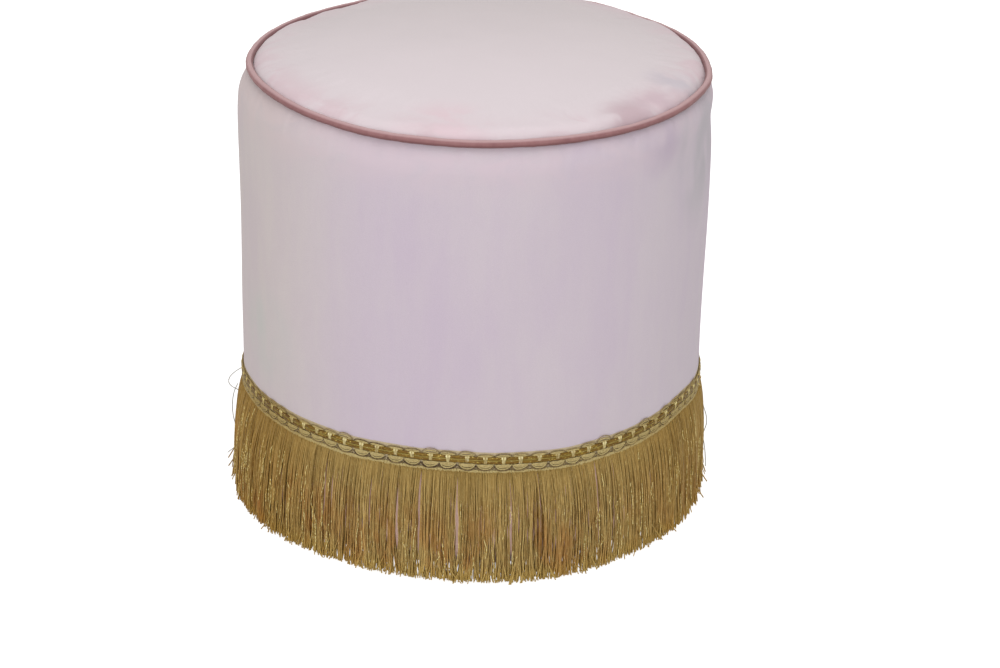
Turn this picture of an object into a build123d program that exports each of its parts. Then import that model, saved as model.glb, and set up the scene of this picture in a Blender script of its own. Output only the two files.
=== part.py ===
"""Round upholstered pouf with a piped seat and a fringe hung round its foot.

A drum of two wooden boards, four posts and a hardboard wall is padded and dressed in velvet.
The half section of the padded skin has a low dome and a tighter rim on the seat, a seam with
piping, a rounded shoulder, and a long side that draws in a little towards the floor. Every
layer is that section set in by its depth, so the layers nest face to face. The fringe hangs
from a woven heading with two cords, bars and scalloped gimp, fastened round the side.

Sizes are millimetres and degrees. The origin is on the floor under the middle, +Z is up, and
-Y faces the viewer, with the joins of wall and trim at the back, on +Y.
"""
import os
from math import asin, atan, cos, degrees, pi, radians, sin, sqrt

from build123d import *

# Overall form. The two angles say how far above level the skin faces, on each side of the seam
body_diameter = 350.0
overall_height = 350.0
crown_height = 20.5
crown_rim_radius = 16.0
crown_rim_angle = 25.0
shoulder_radius = 31.0
shoulder_angle = 45.0
belly_height = 235.0
foot_draw_in = 2.6

# Layers
cover_thickness = 1.6
wadding_thickness = 8.0
seat_foam_thickness = 45.0
side_foam_thickness = 10.0
wall_thickness = 3.0
wall_joint_gap = 1.0
board_thickness = 12.0
dust_cover_thickness = 0.8
hem_width = 28.0
hem_bend_radius = 1.2
dust_cover_margin = 8.0
dust_cover_slope = 6.0

# Piping
piping_diameter = 5.6
piping_cord_diameter = 3.8
piping_flange_thickness = 1.6
seam_allowance = 12.0

# Frame posts and their screws
post_count = 4
post_width = 40.0
post_depth = 22.0
post_clearance = 0.2
screw_head_diameter = 8.0
screw_shank_diameter = 4.0
screw_length = 45.0
screw_clearance = 0.1

# Glides and their screws
glide_count = 4
glide_height = 9.0
glide_top_diameter = 30.0
glide_foot_diameter = 22.0
glide_edge_radius = 2.0
glide_circle_radius = 110.0
glide_recess_depth = 4.0
glide_screw_head_diameter = 7.0
glide_screw_head_height = 2.2
glide_screw_shank_diameter = 3.5
glide_screw_length = 16.0

# Staples
staple_count = 16
staple_crown = 10.0
staple_leg = 6.0
staple_wire = 0.6
hem_staple_inset = 6.0
dust_staple_inset = 5.0

# Fringe heading
heading_top = 100.6
heading_thickness = 1.4
heading_cord_diameter = 2.6
heading_cord_spacing = 2.9
heading_cord_drop = 6.0
scallop_count = 84
scallop_thickness = 1.6
scallop_lift = 0.1
scallop_band = 1.2
lower_scallop_drop = 9.2
lower_scallop_depth = 5.4
upper_scallop_drop = 3.1
upper_scallop_depth = 4.3
bar_width = 3.2
bar_height = 6.4
bar_thickness = 0.8

# Fringe strands
strand_count = 400
strand_backing = 2.2
strand_root = 1.0
strand_sink = 0.2
strand_depth = 1.0
strand_width_share = 0.93
strand_knee_drop = 28.0
fringe_flare = 9.0
row_flare_shares = (1.0, 0.6)
lowest_tip = 1.0
tip_spread = 3.6
tip_spread_shares = (0.0, 0.3, 0.65, 1.0)
tip_step_share = 0.618

# Heights and radii that follow
body_radius = body_diameter / 2
seam_height = overall_height - crown_height
board_bottom = glide_height + dust_cover_thickness
base_board_top = board_bottom + board_thickness
seat_board_top = seam_height - seat_foam_thickness
seat_board_bottom = seat_board_top - board_thickness
wall_outer_radius = body_radius - cover_thickness - side_foam_thickness
board_radius = wall_outer_radius - wall_thickness
hem_inner_radius = board_radius - hem_width
hem_bottom = board_bottom - cover_thickness
dust_cover_radius = board_radius - dust_cover_margin
dust_cover_bottom = hem_bottom - dust_cover_thickness

# The side is one long arc, tangent to the shoulder's arc, which ends at the seam
side_radius = (belly_height**2 + foot_draw_in**2) / (2 * foot_draw_in)
side_centre = (body_radius - side_radius, belly_height)
shoulder_reach = side_radius - shoulder_radius
shoulder_rise = seam_height - shoulder_radius * sin(radians(shoulder_angle)) - belly_height
shoulder_start = degrees(asin(shoulder_rise / shoulder_reach))
shoulder_centre = (
    side_centre[0] + shoulder_reach * cos(radians(shoulder_start)),
    belly_height + shoulder_rise,
)
seam_radius = shoulder_centre[0] + shoulder_radius * cos(radians(shoulder_angle))

# The seat is a wide dome, tangent to a tighter rim arc, which ends at the seam
rim_run = seam_radius - crown_rim_radius * cos(radians(crown_rim_angle))
rim_rise = crown_height - crown_rim_radius * (1 - sin(radians(crown_rim_angle)))
dome_angle = degrees(2 * atan(rim_rise / rim_run))
dome_radius = rim_run / sin(radians(dome_angle)) + crown_rim_radius
dome_centre = (0, overall_height - dome_radius)
rim_centre = (rim_run, seam_height - crown_rim_radius * sin(radians(crown_rim_angle)))

# The piping lies in the groove between the two, with its flange pointing straight inwards
seam_angle = (crown_rim_angle + shoulder_angle) / 2
piping_radius = piping_diameter / 2
piping_cord_radius = piping_cord_diameter / 2
piping_wall = piping_radius - piping_cord_radius
piping_centre = (
    seam_radius + piping_radius * cos(radians(seam_angle)),
    seam_height + piping_radius * sin(radians(seam_angle)),
)
seam_place = Location((seam_radius, seam_height, 0), (0, 0, 180 + seam_angle))


def crown_arcs(inset):
    """Draws the seat's dome and rim, set in by inset, from the axis out to the seam."""
    rim_start = 90 - dome_angle
    dome = CenterArc(dome_centre, dome_radius - inset, 90, -dome_angle)
    rim = CenterArc(rim_centre, crown_rim_radius - inset, rim_start, crown_rim_angle - rim_start)
    return dome, rim


def side_arcs(inset, bottom):
    """Draws the shoulder and the side, set in by inset, from the seam down to bottom."""
    shoulder = CenterArc(
        shoulder_centre,
        shoulder_radius - inset,
        shoulder_angle,
        shoulder_start - shoulder_angle,
    )
    foot_angle = degrees(asin((bottom - belly_height) / (side_radius - inset)))
    side = CenterArc(side_centre, side_radius - inset, shoulder_start, foot_angle - shoulder_start)
    return shoulder, side


def skin_radius(height):
    """Radius of the velvet at a height on the side."""
    return side_centre[0] + sqrt(side_radius**2 - (height - belly_height) ** 2)


def skin_section(inset, bottom):
    """Half section of all that lies within the skin set in by inset, down to bottom."""
    with BuildSketch() as section:
        with BuildLine():
            dome, rim = crown_arcs(inset)
            shoulder, side = side_arcs(inset, bottom)
            if inset > 0:
                Line(rim @ 1, shoulder @ 0)
            Polyline(side @ 1, (0, bottom), dome @ 0)
        make_face()
    return section.sketch


def crown_strip(outer, inner):
    """Half section of a layer of the seat, between two depths under the skin."""
    with BuildSketch() as section:
        with BuildLine():
            outer_dome, outer_rim = crown_arcs(outer)
            inner_dome, inner_rim = crown_arcs(inner)
            Line(outer_dome @ 0, inner_dome @ 0)
            Line(outer_rim @ 1, inner_rim @ 1)
        make_face()
    return section.sketch


def allowance_strip(side):
    """Seam allowance of one cover, against the flange: side is 1 below it and -1 above it."""
    offset = side * (piping_flange_thickness + cover_thickness) / 2
    with BuildSketch() as section:
        with Locations(seam_place):
            with Locations((0, offset)):
                Rectangle(seam_allowance, cover_thickness, align=(Align.MIN, Align.CENTER))
        add(skin_section(0, seat_board_top), mode=Mode.INTERSECT)
    return section.sketch


def piping_outline():
    """Half section of the whole piping: its round and the flange that is sewn in."""
    with BuildSketch() as section:
        with Locations(piping_centre):
            Circle(piping_radius)
        with Locations(seam_place):
            with Locations((-piping_wall / 2, 0)):
                Rectangle(
                    seam_allowance + piping_wall / 2,
                    piping_flange_thickness,
                    align=(Align.MIN, Align.CENTER),
                )
    return section.sketch


def countersunk_screw(head_diameter, shank_diameter, length):
    """A screw with its flat head at the origin and its point up."""
    head_radius = head_diameter / 2
    shank_radius = shank_diameter / 2
    with BuildPart() as screw:
        with BuildSketch(Plane.XZ):
            Polygon(
                (0, 0),
                (head_radius, 0),
                (shank_radius, head_radius - shank_radius),
                (shank_radius, length - shank_radius),
                (0, length),
                align=None,
            )
        revolve(axis=Axis.Z)
    return screw.part


def staple():
    """A staple with its crown at the origin along Y and its legs up."""
    with BuildPart() as bent_wire:
        with BuildSketch(Plane.YZ):
            Rectangle(staple_crown, staple_leg, align=(Align.CENTER, Align.MIN))
            with Locations((0, staple_wire)):
                Rectangle(
                    staple_crown - 2 * staple_wire,
                    staple_leg,
                    align=(Align.CENTER, Align.MIN),
                    mode=Mode.SUBTRACT,
                )
        extrude(amount=staple_wire / 2, both=True)
    return bent_wire.part


def finish(builder, name):
    """Labels a finished piece and writes it to its own file."""
    builder.part.label = name
    export_step(builder.part, f"parts/{name}.step")


os.makedirs("parts", exist_ok=True)

# Frame screws: through the boards into the ends of the posts
frame_screw = countersunk_screw(screw_head_diameter, screw_shank_diameter, screw_length)
post_outer = sqrt((board_radius - post_clearance) ** 2 - (post_width / 2) ** 2)
post_radius = post_outer - post_depth / 2

with BuildPart() as base_screws:
    with Locations((0, 0, board_bottom)):
        with PolarLocations(post_radius, post_count):
            add(frame_screw)
finish(base_screws, "base_screws")

with BuildPart() as seat_screws:
    with Locations(Location((0, 0, seat_board_top), (180, 0, 0))):
        with PolarLocations(post_radius, post_count):
            add(frame_screw)
finish(seat_screws, "seat_screws")

# Staples: the first ring holds the hem to the base board, the second the dust cover
hem_staple_circle = hem_inner_radius + hem_staple_inset
dust_staple_circle = dust_cover_radius - dust_staple_inset

with BuildPart() as hem_staples:
    with Locations((0, 0, hem_bottom)):
        with PolarLocations(hem_staple_circle, staple_count):
            add(staple())
finish(hem_staples, "hem_staples")

with BuildPart() as dust_cover_staples:
    with Locations((0, 0, dust_cover_bottom)):
        with PolarLocations(dust_staple_circle, staple_count):
            add(staple())
finish(dust_cover_staples, "dust_cover_staples")

# Glide screws: up through each glide and the dust cover into the base board
glide_turn = 360 / glide_count / 2

with BuildPart() as pan_head_screw:
    with BuildSketch():
        Circle(glide_screw_head_diameter / 2)
    extrude(amount=-glide_screw_head_height)
    with BuildSketch():
        Circle(glide_screw_shank_diameter / 2)
    extrude(amount=glide_screw_length)

with BuildPart() as glide_screws:
    with Locations((0, 0, glide_recess_depth)):
        with PolarLocations(glide_circle_radius, glide_count, start_angle=glide_turn):
            add(pan_head_screw.part)
finish(glide_screws, "glide_screws")

# Base board: countersunk from below for the posts, with pilots for glides and staples
with BuildPart() as base_board:
    with BuildSketch(Plane.XY.offset(board_bottom)):
        Circle(board_radius)
    extrude(amount=board_thickness)
    with Locations(Location((0, 0, board_bottom), (180, 0, 0))):
        with PolarLocations(post_radius, post_count):
            CounterSinkHole(
                screw_shank_diameter / 2 + screw_clearance,
                screw_head_diameter / 2,
                depth=board_thickness,
                counter_sink_angle=90,
            )
    add(glide_screws.part, mode=Mode.SUBTRACT)
    add(hem_staples.part, mode=Mode.SUBTRACT)
    add(dust_cover_staples.part, mode=Mode.SUBTRACT)
finish(base_board, "base_board")

# Seat board: countersunk from above for the posts
with BuildPart() as seat_board:
    with BuildSketch(Plane.XY.offset(seat_board_bottom)):
        Circle(board_radius)
    extrude(amount=board_thickness)
    with Locations((0, 0, seat_board_top)):
        with PolarLocations(post_radius, post_count):
            CounterSinkHole(
                screw_shank_diameter / 2 + screw_clearance,
                screw_head_diameter / 2,
                depth=board_thickness,
                counter_sink_angle=90,
            )
finish(seat_board, "seat_board")

# Frame posts: the rear one also backs the wall's joint
for number in range(post_count):
    post_foot = Plane.XY.offset(base_board_top).rotated((0, 0, number * 360 / post_count))
    with BuildPart() as frame_post:
        with BuildSketch(post_foot):
            with Locations((post_radius, 0)):
                Rectangle(post_depth, post_width)
        extrude(amount=seat_board_bottom - base_board_top)
        add(base_screws.part, mode=Mode.SUBTRACT)
        add(seat_screws.part, mode=Mode.SUBTRACT)
    finish(frame_post, f"frame_post_{number + 1}")

# Wall: a hardboard sheet bent round both boards, its ends meeting at the back
with BuildPart() as wall_panel:
    with BuildSketch(Plane.XY.offset(board_bottom)):
        Circle(wall_outer_radius)
        Circle(board_radius, mode=Mode.SUBTRACT)
        with Locations((0, wall_outer_radius)):
            Rectangle(wall_joint_gap, 2 * (wall_thickness + wall_joint_gap), mode=Mode.SUBTRACT)
    extrude(amount=seat_board_top - board_bottom)
finish(wall_panel, "wall_panel")

# Piping: a bias strip of velvet folded round a cotton cord
with BuildPart() as piping_cord:
    with BuildSketch(Plane.XZ):
        with Locations(piping_centre):
            Circle(piping_cord_radius)
    revolve(axis=Axis.Z)
finish(piping_cord, "piping_cord")

with BuildPart() as piping_casing:
    with BuildSketch(Plane.XZ):
        add(piping_outline())
        with Locations(piping_centre):
            Circle(piping_cord_radius, mode=Mode.SUBTRACT)
    revolve(axis=Axis.Z)
finish(piping_casing, "piping_casing")

# Seat cover: the velvet panel on top, with its seam allowance turned in
with BuildPart() as seat_cover:
    with BuildSketch(Plane.XZ) as seat_cover_section:
        add(crown_strip(0, cover_thickness))
        add(allowance_strip(-1))
        add(piping_outline(), mode=Mode.SUBTRACT)
    revolve(axis=Axis.Z)
finish(seat_cover, "seat_cover")

# Side cover: the velvet round the side, turned in at the seam and hemmed under the board
with BuildPart() as side_cover:
    with BuildSketch(Plane.XZ) as side_cover_section:
        with BuildLine():
            outer_shoulder, outer_side = side_arcs(0, hem_bottom)
            inner_shoulder, inner_side = side_arcs(cover_thickness, board_bottom)
            Line(outer_shoulder @ 0, inner_shoulder @ 0)
            Polyline(
                outer_side @ 1,
                (hem_inner_radius, hem_bottom),
                (hem_inner_radius, board_bottom),
                inner_side @ 1,
            )
        make_face()
        foot_corner = side_cover_section.vertices().sort_by_distance(
            (skin_radius(hem_bottom), hem_bottom)
        )[0]
        fillet(foot_corner, hem_bend_radius)
        add(allowance_strip(1))
        add(piping_outline(), mode=Mode.SUBTRACT)
    revolve(axis=Axis.Z)
    add(hem_staples.part, mode=Mode.SUBTRACT)
    add(dust_cover_staples.part, mode=Mode.SUBTRACT)
finish(side_cover, "side_cover")

# Seat padding: wadding under the cover, and a foam block that fills the seat below it
with BuildPart() as seat_wadding:
    with BuildSketch(Plane.XZ) as wadding_section:
        add(crown_strip(cover_thickness, cover_thickness + wadding_thickness))
        add(seat_cover_section.sketch_local, mode=Mode.SUBTRACT)
        add(side_cover_section.sketch_local, mode=Mode.SUBTRACT)
        add(piping_outline(), mode=Mode.SUBTRACT)
    revolve(axis=Axis.Z)
finish(seat_wadding, "seat_wadding")

with BuildPart() as seat_foam:
    with BuildSketch(Plane.XZ):
        add(skin_section(cover_thickness, seat_board_top))
        add(wadding_section.sketch_local, mode=Mode.SUBTRACT)
        add(seat_cover_section.sketch_local, mode=Mode.SUBTRACT)
        add(side_cover_section.sketch_local, mode=Mode.SUBTRACT)
        add(piping_outline(), mode=Mode.SUBTRACT)
    revolve(axis=Axis.Z)
finish(seat_foam, "seat_foam")

# Side foam: a sheet wrapped round the wall under the side cover
with BuildPart() as side_foam:
    with BuildSketch(Plane.XZ):
        add(skin_section(cover_thickness, board_bottom))
        with Locations((wall_outer_radius, board_bottom)):
            Rectangle(
                body_radius - wall_outer_radius,
                seat_board_top - board_bottom,
                align=(Align.MIN, Align.MIN),
                mode=Mode.INTERSECT,
            )
    revolve(axis=Axis.Z)
finish(side_foam, "side_foam")

# Dust cover: a cloth disc drawn over the hem, flat against the board inside it
slope_radius = hem_inner_radius - dust_cover_slope
with BuildPart() as dust_cover:
    with BuildSketch(Plane.XZ):
        Polygon(
            (0, board_bottom),
            (0, glide_height),
            (slope_radius, glide_height),
            (hem_inner_radius, dust_cover_bottom),
            (dust_cover_radius, dust_cover_bottom),
            (dust_cover_radius, hem_bottom),
            (hem_inner_radius, hem_bottom),
            (slope_radius, board_bottom),
            align=None,
        )
    revolve(axis=Axis.Z)
    add(glide_screws.part, mode=Mode.SUBTRACT)
    add(dust_cover_staples.part, mode=Mode.SUBTRACT)
finish(dust_cover, "dust_cover")

# Glides: plastic feet with a flat sole, screwed up through a recess
with BuildPart() as glide_form:
    with BuildSketch(Plane.XZ):
        Polygon(
            (0, 0),
            (glide_foot_diameter / 2, 0),
            (glide_top_diameter / 2, glide_height - glide_edge_radius),
            (glide_top_diameter / 2, glide_height),
            (0, glide_height),
            align=None,
        )
    revolve(axis=Axis.Z)
    fillet(glide_form.edges().group_by(Axis.Z)[0], glide_edge_radius)
    with Locations(Location((0, 0, 0), (180, 0, 0))):
        CounterBoreHole(
            glide_screw_shank_diameter / 2,
            glide_screw_head_diameter / 2 + screw_clearance,
            glide_recess_depth,
            depth=glide_height,
        )

glide_places = PolarLocations(glide_circle_radius, glide_count, start_angle=glide_turn)
for number, glide_place in enumerate(glide_places):
    with BuildPart() as glide:
        with Locations(glide_place):
            add(glide_form.part)
    finish(glide, f"glide_{number + 1}")

# Fringe heading: a woven tape round the side, its ends meeting at the back
tape_inner = skin_radius(heading_top)
tape_outer = tape_inner + heading_thickness
lower_scallop_top = heading_top - lower_scallop_drop
fringe_top = lower_scallop_top - lower_scallop_depth
upper_scallop_bottom = heading_top - upper_scallop_drop
cord_height = heading_top - heading_cord_drop

with BuildPart() as heading_tape:
    with BuildSketch(Plane.XY.offset(fringe_top)):
        Circle(tape_outer)
        Circle(tape_inner, mode=Mode.SUBTRACT)
    extrude(amount=heading_top - fringe_top)
finish(heading_tape, "heading_tape")

# Heading cords: two thick metallic cords side by side along the middle of the tape
for name, side in (("upper_heading_cord", 1), ("lower_heading_cord", -1)):
    with BuildPart() as heading_cord:
        with BuildSketch(Plane.XZ):
            cord_centre = (
                tape_outer + heading_cord_diameter / 2,
                cord_height + side * heading_cord_spacing / 2,
            )
            with Locations(cord_centre):
                Circle(heading_cord_diameter / 2)
        revolve(axis=Axis.Z)
    finish(heading_cord, name)

# Heading bars: short wraps over both cords, one at the middle of each scallop
bar_inner = tape_outer + heading_cord_diameter
with BuildPart() as heading_bars:
    with Locations((0, 0, cord_height)):
        with PolarLocations(bar_inner + bar_thickness / 2, scallop_count, start_angle=-90):
            Box(bar_thickness, bar_width, bar_height)
finish(heading_bars, "heading_bars")


def scallops(straight_height, rise):
    """A gimp edge of lobes round the tape: they stand by rise, or hang where it is negative."""
    half_chord = tape_outer * sin(pi / scallop_count)
    with BuildPart() as lobe:
        with BuildSketch(Plane.YZ):
            with BuildLine():
                ThreePointArc((-half_chord, 0), (0, rise), (half_chord, 0))
                Line((half_chord, 0), (-half_chord, 0))
            make_face()
        extrude(amount=scallop_thickness)
    with BuildPart() as edge:
        with BuildSketch(Plane.XY.offset(straight_height)):
            Circle(tape_outer + scallop_thickness)
            Circle(tape_outer, mode=Mode.SUBTRACT)
        extrude(amount=scallop_band * rise / abs(rise))
        with Locations((0, 0, straight_height)):
            with PolarLocations(tape_outer + scallop_lift, scallop_count, start_angle=-90):
                add(lobe.part)
    return edge


# Gimp scallops: lobes that hang under the cords, and shallower ones that stand above them
lower_scallops = scallops(lower_scallop_top, -lower_scallop_depth)
finish(lower_scallops, "lower_scallops")
upper_scallops = scallops(upper_scallop_bottom, upper_scallop_depth)
finish(upper_scallops, "upper_scallops")

# Fringe strands: three-sided, in two rows, each flaring out to a knee and hanging from there
strand_turn = 360 / strand_count
strand_width = strand_width_share * 2 * tape_inner * sin(radians(strand_turn / 2))
backing_bottom = fringe_top - strand_backing
knee_height = backing_bottom - strand_knee_drop


def strand(flare, tip_height):
    """One strand on the X axis, its flat side outwards."""
    knee_radius = tape_outer - strand_sink + flare
    with BuildPart() as made:
        with BuildSketch(Plane.XY.offset(knee_height)) as cut:
            Polygon(
                (knee_radius, strand_width / 2),
                (knee_radius, -strand_width / 2),
                (knee_radius - strand_depth, 0),
                align=None,
            )
        extrude(amount=tip_height - knee_height)
        head = Vector(-flare, 0, strand_knee_drop + strand_root)
        extrude(cut.sketch, amount=head.length, dir=head)
    return made.part


strand_forms = [
    [strand(fringe_flare * row, lowest_tip + tip_spread * tip) for tip in tip_spread_shares]
    for row in row_flare_shares
]
hung_strands = []
for number in range(strand_count):
    row = strand_forms[number % len(row_flare_shares)]
    form = row[int(number * tip_step_share % 1 * len(tip_spread_shares))]
    hung_strands.append(Rot(0, 0, number * strand_turn) * form)

with BuildPart() as fringe_strands:
    with BuildSketch(Plane.XY.offset(backing_bottom)):
        Circle(tape_outer)
        Circle(tape_inner, mode=Mode.SUBTRACT)
    extrude(amount=strand_backing)
    add(hung_strands, clean=False)
finish(fringe_strands, "fringe_strands")
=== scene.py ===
"""A round velvet pouf with a piped seat and a gold thread fringe, dressed for its picture.

The wooden drum, its screws, staples and glides come from the frame and only get finishes. The
velvet, the piping, the corded heading, the lining and every thread of the fringe are made here,
each in the place of its solid. Lengths are metres, the floor is z = 0, and -Y faces the viewer.
Azimuths run from +X towards +Y, so the front is at 270 degrees. The side cover is joined at the
back.
"""
from math import asin, atan, cos, pi, radians, sin, sqrt

import bmesh
import bpy
import numpy as np
from mathutils import Matrix, Vector


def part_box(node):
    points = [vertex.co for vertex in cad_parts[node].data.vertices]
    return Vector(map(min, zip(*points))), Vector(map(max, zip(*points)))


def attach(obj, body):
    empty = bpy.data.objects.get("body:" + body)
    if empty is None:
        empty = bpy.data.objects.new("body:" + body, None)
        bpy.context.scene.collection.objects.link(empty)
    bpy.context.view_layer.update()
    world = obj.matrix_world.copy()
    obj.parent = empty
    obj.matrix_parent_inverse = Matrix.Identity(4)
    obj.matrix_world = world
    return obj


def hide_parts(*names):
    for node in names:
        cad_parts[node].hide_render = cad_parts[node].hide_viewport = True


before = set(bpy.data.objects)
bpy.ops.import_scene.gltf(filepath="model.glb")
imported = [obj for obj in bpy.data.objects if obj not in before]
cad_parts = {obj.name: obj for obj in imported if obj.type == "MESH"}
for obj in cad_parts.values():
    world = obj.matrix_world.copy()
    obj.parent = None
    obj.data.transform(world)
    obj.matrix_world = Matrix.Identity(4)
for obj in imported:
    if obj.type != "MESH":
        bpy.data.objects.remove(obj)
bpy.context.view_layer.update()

BODY = "root"
TURN = 2 * pi
BACK = pi / 2

# The skin of the padded drum, as in the solids
BODY_RADIUS = 0.175
TOTAL_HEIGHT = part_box("seat_cover")[1].z
CROWN_HEIGHT = 0.0205
RIM_RADIUS = 0.016
RIM_ANGLE = radians(25)
SHOULDER_RADIUS = 0.031
SEAM_ANGLE = radians(45)
BELLY_HEIGHT = 0.235
FOOT_DRAW_IN = 0.0026
SEAM_HEIGHT = TOTAL_HEIGHT - CROWN_HEIGHT
WALL_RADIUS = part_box("wall_panel")[1].x
SEAT_BOARD_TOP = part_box("seat_board")[1].z
BOARD_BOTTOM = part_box("base_board")[0].z
HEM_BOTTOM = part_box("side_cover")[0].z
HEM_INNER_RADIUS = 0.1324
HEM_BEND = 0.0016
PIPING_RADIUS = 0.0028
FILLER_RADIUS = 0.0019
CLOTH_THICKNESS = 0.0008
CLOTH_SLOPE = 0.006
CLOTH_SAG_RADIUS = 0.085
STAPLES = 16
# The lining's sag at its middle, its waves, and where they start from the axis
CLOTH_SAG = 0.0009
CLOTH_WAVES = 0.0003
CLOTH_CALM_RADIUS = 0.05
# How much the lining is drawn up and aside between staples
CLOTH_PUCKER = 0.00018
CLOTH_PULL = 0.0006

# A swell is an azimuth and a half width in degrees, then an amount at its middle.
# Where the seam strays from its level, and how fast the seat and the side take that up
SEAM_SWELLS = (
    (212, 26, 0.0026), (150, 22, -0.0022), (125, 16, -0.0014),
    (85, 42, -0.0027), (42, 15, -0.0022), (5, 26, -0.0022),
)
SEAT_TAKE_UP = 0.06
SIDE_TAKE_UP = 0.05
# Where the padding stands fuller or flatter beside the seam, on the seat and on the side
SEAT_RIM_SWELLS = ((44, 15, 0.0016), (138, 17, -0.0012))
SEAT_RIM_MIDDLE = 0.012
SEAT_RIM_WIDTH = 0.011
SHOULDER_SWELLS = ((-8, 22, -0.0018),)
SHOULDER_MIDDLE = 0.026
SHOULDER_WIDTH = 0.016
# Uneven padding: waves of the seat and the side, ripples down the side, and how far down from the
# seam its waves reach
SEAT_WAVES = 0.0006
SIDE_WAVES = 0.0007
SIDE_DRIFT = 0.0004
SOFT_REACH = 0.3
# Puckers of the side beside the seam, the seam up its back, and the pleats of its hem
PUCKER_HEIGHT = 0.00028
PUCKER_MIDDLE = 0.004
PUCKER_WIDTH = 0.013
GROOVE_DEPTH = 0.0008
GROOVE_WIDTH = 0.0007
GROOVE_RIDGE = 0.0003
GROOVE_RIDGE_WIDTH = 0.003
GROOVE_START = 0.004
PLEAT_HEIGHT = 0.0005
PLEAT_START = 0.01
# Skins don't stray within this distance of the seam, where the piping holds them
SEAM_HOLD = 0.002
# The piping's unevenness: aside, up and down, and in thickness as shares of its radius
PIPING_SWAY = 0.0004
PIPING_DIPS = 0.0003
PIPING_THICKENING = 0.05
PIPING_RIPPLE = 0.02
# Points round each piece, rows of the hem, and the close columns beside the seam at the back
SKIN_COLUMNS = 480
PIPING_STEPS = 900
TAPE_COLUMNS = 720
CORD_STEPS_PER_LOBE = 12
CLOTH_COLUMNS = 288
HEM_ROWS = 12
SEAM_COLUMNS = 29
SEAM_BAND = 0.02
SEAM_CLEAR = 0.0215
WELD_DISTANCE = 0.000002
# The seat sits a little to the right on the padded drum
SEAT_SLIP = 0.0027
SLIP_FADE = 0.021

# Cloth simulation of the seat's velvet, from this radius out to the seam. The middle has so many
# rows of points and stays calm
CALM_RADIUS = 0.118
CALM_ROWS = 17
PRESS_FRAMES = 20
PRESS_FORCE = 2.0
SPARE_CLOTH = 0.02
MOST_PRESSED = 0.0012
PRESS_SHARE = 0.42

# The heading and the fringe
HEADING_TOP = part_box("heading_tape")[1].z
HEADING_BOTTOM = 0.0838
# The tape is sewn tight, so it lies sunk in the velvet, flush with it
TAPE_OUTER = 0.1743
TAPE_THICKNESS = 0.0014
TAPE_EDGE_ROLL = 0.0015
TAPE_FRAY = 0.0002
# The velvet lies flat this far from the tape, where the stitches hold it
CALM_REACH = 0.02
# The velvet has closer rows of points between these heights
FINE_ROWS = (0.108, 0.071)
CORD_RADIUS = 0.0013
CORD_FLATNESS = 0.62
CORD_SPACING = 0.0029
CORD_HEIGHT = 0.0946
CORD_PINCH = 0.07
CORD_SINKING = 0.00012
CORD_WANDER = 0.0001
SCALLOPS = 84
# The nested threads of a lobe: share of its height, radius of the thread, and whether it is dark
LOWER_ROWS = (
    (1.0, 0.00052, True),
    (0.78, 0.00054, False),
    (0.58, 0.00018, True),
    (0.46, 0.0005, False),
    (0.26, 0.0005, False),
    (0.06, 0.0005, False),
)
UPPER_ROWS = ((1.0, 0.00028, True), (0.6, 0.0004, False), (0.15, 0.0004, False))
# Where the outlines of the lobes are darkest
DARK_LOBES = ((262, 34, 0.5),)
# Two rows of gimp: piece, node, foot of its lobes, their height, threads, seed, least height as a
# share of the most, where the outline ends as a share, and the pallor of the dark outlines
GIMP_ROWS = (
    ("lower_gimp", "lower_scallops", 0.0914, -0.0054, LOWER_ROWS, 72, 0.88, 0.32, (0.5, 0.74)),
    ("upper_gimp", "upper_scallops", 0.0975, 0.0043, UPPER_ROWS, 74, 0.22, 0, (0.55, 1.1)),
)
BAR_WIDTH = 0.0034
BAR_HEIGHT = 0.0064
# A wrap's thread, how far it arches out, and how much thicker its knot is
BAR_RADIUS = 0.00038
BAR_ARCH = 0.0012
BAR_STEPS = 15
KNOT_RADIUS = 0.0004
STITCHES = 980
STITCH_TOP = 0.0868
STITCH_HEIGHT = 0.003
STITCH_RADIUS = 0.00062
FRINGE_ROOT = 0.0862
# Where the hand-sewn heading strays from its level
HEADING_SWELLS = (
    (168, 24, -0.0095), (264, 15, 0.0014), (292, 22, -0.0026), (333, 10, 0.003), (4, 15, -0.003),
)
HEADING_WAVES = 0.0005
FRINGE_FLARE = 0.0102
FRINGE_FLARE_DROP = 0.0175
# Where the fringe stands out further, where it does so lower down, and where it was cut longer
FLARE_SWELLS = (
    (184, 13, -0.0026), (214, 20, 0.0046), (287, 25, 0.006),
    (250, 16, 0.0012), (326, 13, 0.0016), (354, 18, -0.0036),
)
LOW_FLARE_SWELLS = ((218, 27, 0.022), (322, 25, 0.018))
LONG_SWELLS = ((220, 24, 1), (300, 30, 1))
FRINGE_SECTORS = 8
THREADS_PER_SECTOR = 760
THREAD_RADIUS = 0.00037
THREAD_STEPS = 15
# Threads hang in locks, so many round the drum
LOCKS = (283, 331)
LOCK_DRAW = 0.00055
# Tips: height, how much lower where the fringe was cut longer, waves, spread, and the share of the
# threads that aren't cut short
TIP_HEIGHT = 0.0025
TIP_CUT_LONGER = 0.0015
TIP_WAVES = 0.0006
TIP_SPREAD = 0.0008
FULL_LENGTH_SHARE = 0.88
# How threads stray from the flare: waves and scatter outwards, tips that hang back in, clumps and
# drift round the drum, and single threads aside over their length and at their tips
BILLOW = 0.0007
SCATTER = 0.0005
TIP_TUCK = 0.001
CLUMPS = 0.0008
DRIFT = 0.001
STRAYING = 0.0008
TIP_STRAYING = 0.0011
# The share of threads whose ends curl, and how much, then the same for those that curl most
CURLED = (0.3, 0.0022)
MOST_CURLED = (0.06, 0.005)
# Where the threads part and the velvet shows between them
PARTINGS = 132
PARTING_WIDTH = 0.014
LEAST_PARTING = 0.0003
PARTING_SPREAD = 0.002

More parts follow.
